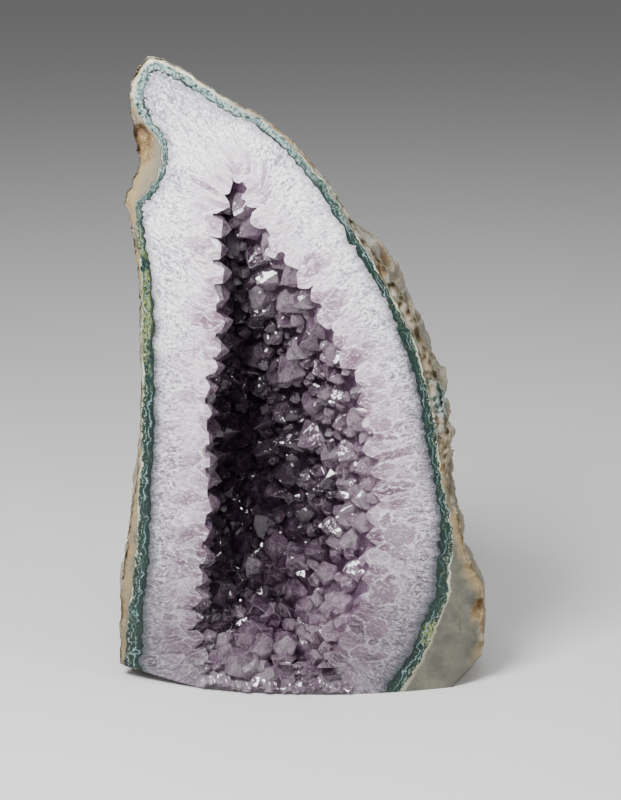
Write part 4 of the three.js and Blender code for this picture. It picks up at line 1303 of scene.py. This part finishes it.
def growPoints():
    # the sill's points, large ones given one by one, points of the solid's sizes along the rim and over the
    # wall, and small ones between them
    draw, own = seededRandom(crust["seed"]), seededRandom(smallPoints["seed"])
    sliced, whole = bpy.data.collections.new("sliced"), bpy.data.collections.new("whole")
    roots = []

    def plant(place, normal, radius, shoulder, lean, collection):
        roots.append((place, radius))
        placedPoint(place, normal, radius, shoulder, lean, draw, collection, own())

    def isFree(place, spacing):
        return all((other - place).length > spacing for other, _ in roots)

    for x, back, z, radius, shoulder, way in sillPoints:
        place = Vector((x, faceY(x, z) + back + crust["setBack"], z))
        plant(place, Vector(way), radius, shoulder, 0, whole)
    sillDraw = seededRandom(crust["sillSeed"])
    sillTable = sillTips + footTips(sillDraw)
    for table, ownDraw, collection in ((tallPoints, own, sliced), (sillTable, sillDraw, whole)):
        for x, back, z, radius, shoulder, way in table:
            lean = Vector(way).normalized()
            place = Vector((x, faceY(x, z) + back, z)) - lean * (shoulder + radius)
            shade = between(crust["sillShade"], ownDraw)
            placedPoint(place, lean, radius, shoulder, 0, ownDraw, collection, shade)
    for k in range(rimPoints["tries"]):
        along = k / rimPoints["tries"] * len(mouthOutline)
        place, normal = wallAt(along, between(rimPoints["turn"], draw))
        if isFree(place, rimPoints["spacing"]):
            radius = between(rimPoints["radius"], draw)
            plant(place, normal, radius, between(rimPoints["shoulder"], draw), rimPoints["lean"], sliced)
    for k in range(wallPoints["tries"]):
        turn = math.asin(math.sqrt(draw()))
        place, normal = wallAt(draw() * len(mouthOutline), turn)
        spacing = lerp(*wallPoints["spacing"], math.sin(turn) ** 2)
        if isFree(place, spacing):
            radius = spacing * between(wallPoints["radius"], draw)
            plant(place, normal, radius, between(wallPoints["shoulder"], draw), wallPoints["lean"], sliced)
    print("small points")
    teeth = 0
    for k in range(toothPoints["tries"]):
        along = k / toothPoints["tries"] * len(mouthOutline)
        place, normal = wallAt(along, between(toothPoints["turn"], own))
        if isFree(place, toothPoints["spacing"]):
            teeth += 1
            isLong = teeth % toothPoints["longEvery"] == 0
            radius = between(toothPoints["longRadius" if isLong else "radius"], own)
            shoulder = between(toothPoints["longShoulder" if isLong else "shoulder"], own)
            roots.append((place, radius))
            placedPoint(place, normal, radius, shoulder, toothPoints["lean"], own, sliced, own())
    for k in range(smallPoints["tries"]):
        place, normal = wallAt(own() * len(mouthOutline), math.asin(math.sqrt(own())))
        if isFree(place, smallPoints["spacing"]):
            radius, shoulder = between(smallPoints["radius"], own), between(smallPoints["shoulder"], own)
            roots.append((place, radius))
            placedPoint(place, normal, radius, shoulder, smallPoints["lean"], own, sliced, own())
    return sliced, whole


def hollowSkin(name, margin, front):
    # the surface of the hollow as a closed solid, moved in by a margin and run past the cut face
    line = tuple(points[::crust["everyMouthPoint"]] for points in mouthEven)
    turns = turnsTo(crust["rings"])
    rows = np.array([surfaceRing(hollowForm, line, turn) for turn in turns])
    sideways = np.roll(rows, -1, axis=1) - np.roll(rows, 1, axis=1)
    deeper = np.gradient(rows, axis=0)
    normals = np.cross(sideways, deeper)
    normals /= np.linalg.norm(normals, axis=2)[:, :, None] + 1e-9
    shares = np.array([margin(turn) for turn in turns])
    rows = rows + normals * shares[:, None, None]
    pole = surfaceRing(hollowForm, line, math.pi / 2)[:1] - np.array([[0, margin(math.pi / 2), 0]])
    ahead = rows[:1].copy()
    ahead[:, :, 1] = front
    rows = np.vstack([ahead, rows])
    middle = np.array([[hollowForm["middle"][0], front, hollowForm["middle"][1]]])
    points = np.vstack([rows.reshape(-1, 3), middle, pole])
    return meshFrom(name, points, gridFaces(len(rows), len(line[0])))


def blockMesh(name, near, far, low, high, span=crust["span"]):
    # a block between two faces, near and far, in thin strips from side to side
    xs = np.arange(*span, crust["strip"])
    points, faces = [], []
    for z in (low, high):
        points += [(x, near(x, z), z) for x in xs]
        points += [(x, far(x, z), z) for x in xs]
    m = len(xs)
    for i in range(m - 1):
        faces += [(i, i + 1, 2 * m + i + 1, 2 * m + i), (m + i + 1, m + i, 3 * m + i, 3 * m + i + 1),
                  (i + 1, i, m + i, m + i + 1), (2 * m + i, 2 * m + i + 1, 3 * m + i + 1, 3 * m + i)]
    faces += [(0, 2 * m, 3 * m, m), (m - 1, 2 * m - 1, 4 * m - 1, 3 * m - 1)]
    return meshFrom(name, points, faces)


def combined(mesh, operation, other):
    thing = bpy.data.objects.new("work", mesh)
    bpy.context.scene.collection.objects.link(thing)
    modifier = thing.modifiers.new("join", "BOOLEAN")
    modifier.operation, modifier.solver = operation, "MANIFOLD"
    helper = None
    if isinstance(other, bpy.types.Collection):
        modifier.operand_type, modifier.collection = "COLLECTION", other
    else:
        helper = bpy.data.objects.new("helper", other)
        bpy.context.scene.collection.objects.link(helper)
        modifier.object = helper
    graph = bpy.context.evaluated_depsgraph_get()
    result = bpy.data.meshes.new_from_object(thing.evaluated_get(graph), depsgraph=graph)
    bpy.data.objects.remove(thing)
    if helper:
        bpy.data.objects.remove(helper)
    return result


def makeCrust():
    # the lining and its points, cut off at the cut face, with the sill's points whole in front of it
    sliced, whole = growPoints()
    for collection in (sliced, whole):
        bpy.context.scene.collection.children.link(collection)

    def seamAt(turn):
        return -crust["seam"] * float(smooth(turn / crust["seamFade"]))

    def behindSill(x, z):
        return faceY(x, z) + crust["sillBack"]

    def beforeFace(x, z):
        return faceY(x, z) - crust["seam"]

    def flat(y):
        return lambda x, z: y

    # the numbers that stand here alone reach well past the stone
    hollow = hollowSkin("hollow", seamAt, crust["front"])
    inner = hollowSkin("inner", lambda turn: crust["lining"], crust["front"] - 20)
    lining = combined(hollow.copy(), "DIFFERENCE", inner)
    print("one crust")
    body = combined(lining, "UNION", sliced)
    body = combined(body, "INTERSECT", blockMesh("behind", faceY, flat(60), -20, 320))
    recess = blockMesh("recess", flat(-80), behindSill, -5, crust["sillTop"], crust["sillSpan"])
    body = combined(body, "DIFFERENCE", recess)
    body = combined(body, "UNION", whole)
    front = blockMesh("front", flat(crust["front"]), beforeFace, *crust["apronZ"])
    apron = combined(body, "INTERSECT", front)
    body = combined(body, "INTERSECT", hollow)
    body = combined(body, "UNION", apron)
    for collection in (sliced, whole):
        for thing in list(collection.objects):
            bpy.data.objects.remove(thing)
        bpy.data.collections.remove(collection)
    return body


def finishCrust(mesh):
    # the sliced ends of the points are regridded and carry on the look of the quartz wall
    mesh.materials.clear()
    bm = bmesh.new()
    bm.from_mesh(mesh)

    def onCut(face):
        middle = face.calc_center_median() / mm
        x, y, z = middle.x + stoneCentre["x"], middle.y + stoneCentre["y"], middle.z
        return abs(y - faceY(x, z)) < 0.02 and face.normal.y < -0.9

    bm.normal_update()
    cut = [face for face in bm.faces if onCut(face)]
    for axis, span in ((0, crust["gridX"]), (2, crust["gridZ"])):
        for at in np.arange(*span, crust["grid"]):
            place, normal = Vector((0, 0, 0)), Vector((0, 0, 0))
            place[axis], normal[axis] = at * mm, 1
            edges = {edge for face in cut for edge in face.edges}
            verts = {vert for face in cut for vert in face.verts}
            geometry = cut + list(edges) + list(verts)
            bmesh.ops.bisect_plane(bm, geom=geometry, plane_co=place, plane_no=normal)
            bm.faces.ensure_lookup_table()
            cut = [face for face in bm.faces if onCut(face)]
    for face in cut:
        face.material_index = 1
    bm.to_mesh(mesh)
    bm.free()
    places = np.zeros(len(mesh.vertices) * 3, np.float32)
    mesh.vertices.foreach_get("co", places)
    places = places.reshape(-1, 3) / mm + np.array([stoneCentre["x"], stoneCentre["y"], 0])
    index, gap = nearestOn(mouthLine[0], places[:, [0, 2]])
    quartzValues(mesh, places, edgeArc[index], -gap)
    mesh.validate(clean_customdata=False)


crustMesh = makeCrust()
crustMesh.name = "amethystCrust"
print("cut faces of the points")
finishCrust(crustMesh)
piece("amethystCrust", crustMesh, "amethyst_crust", [amethyst, cutQuartz])
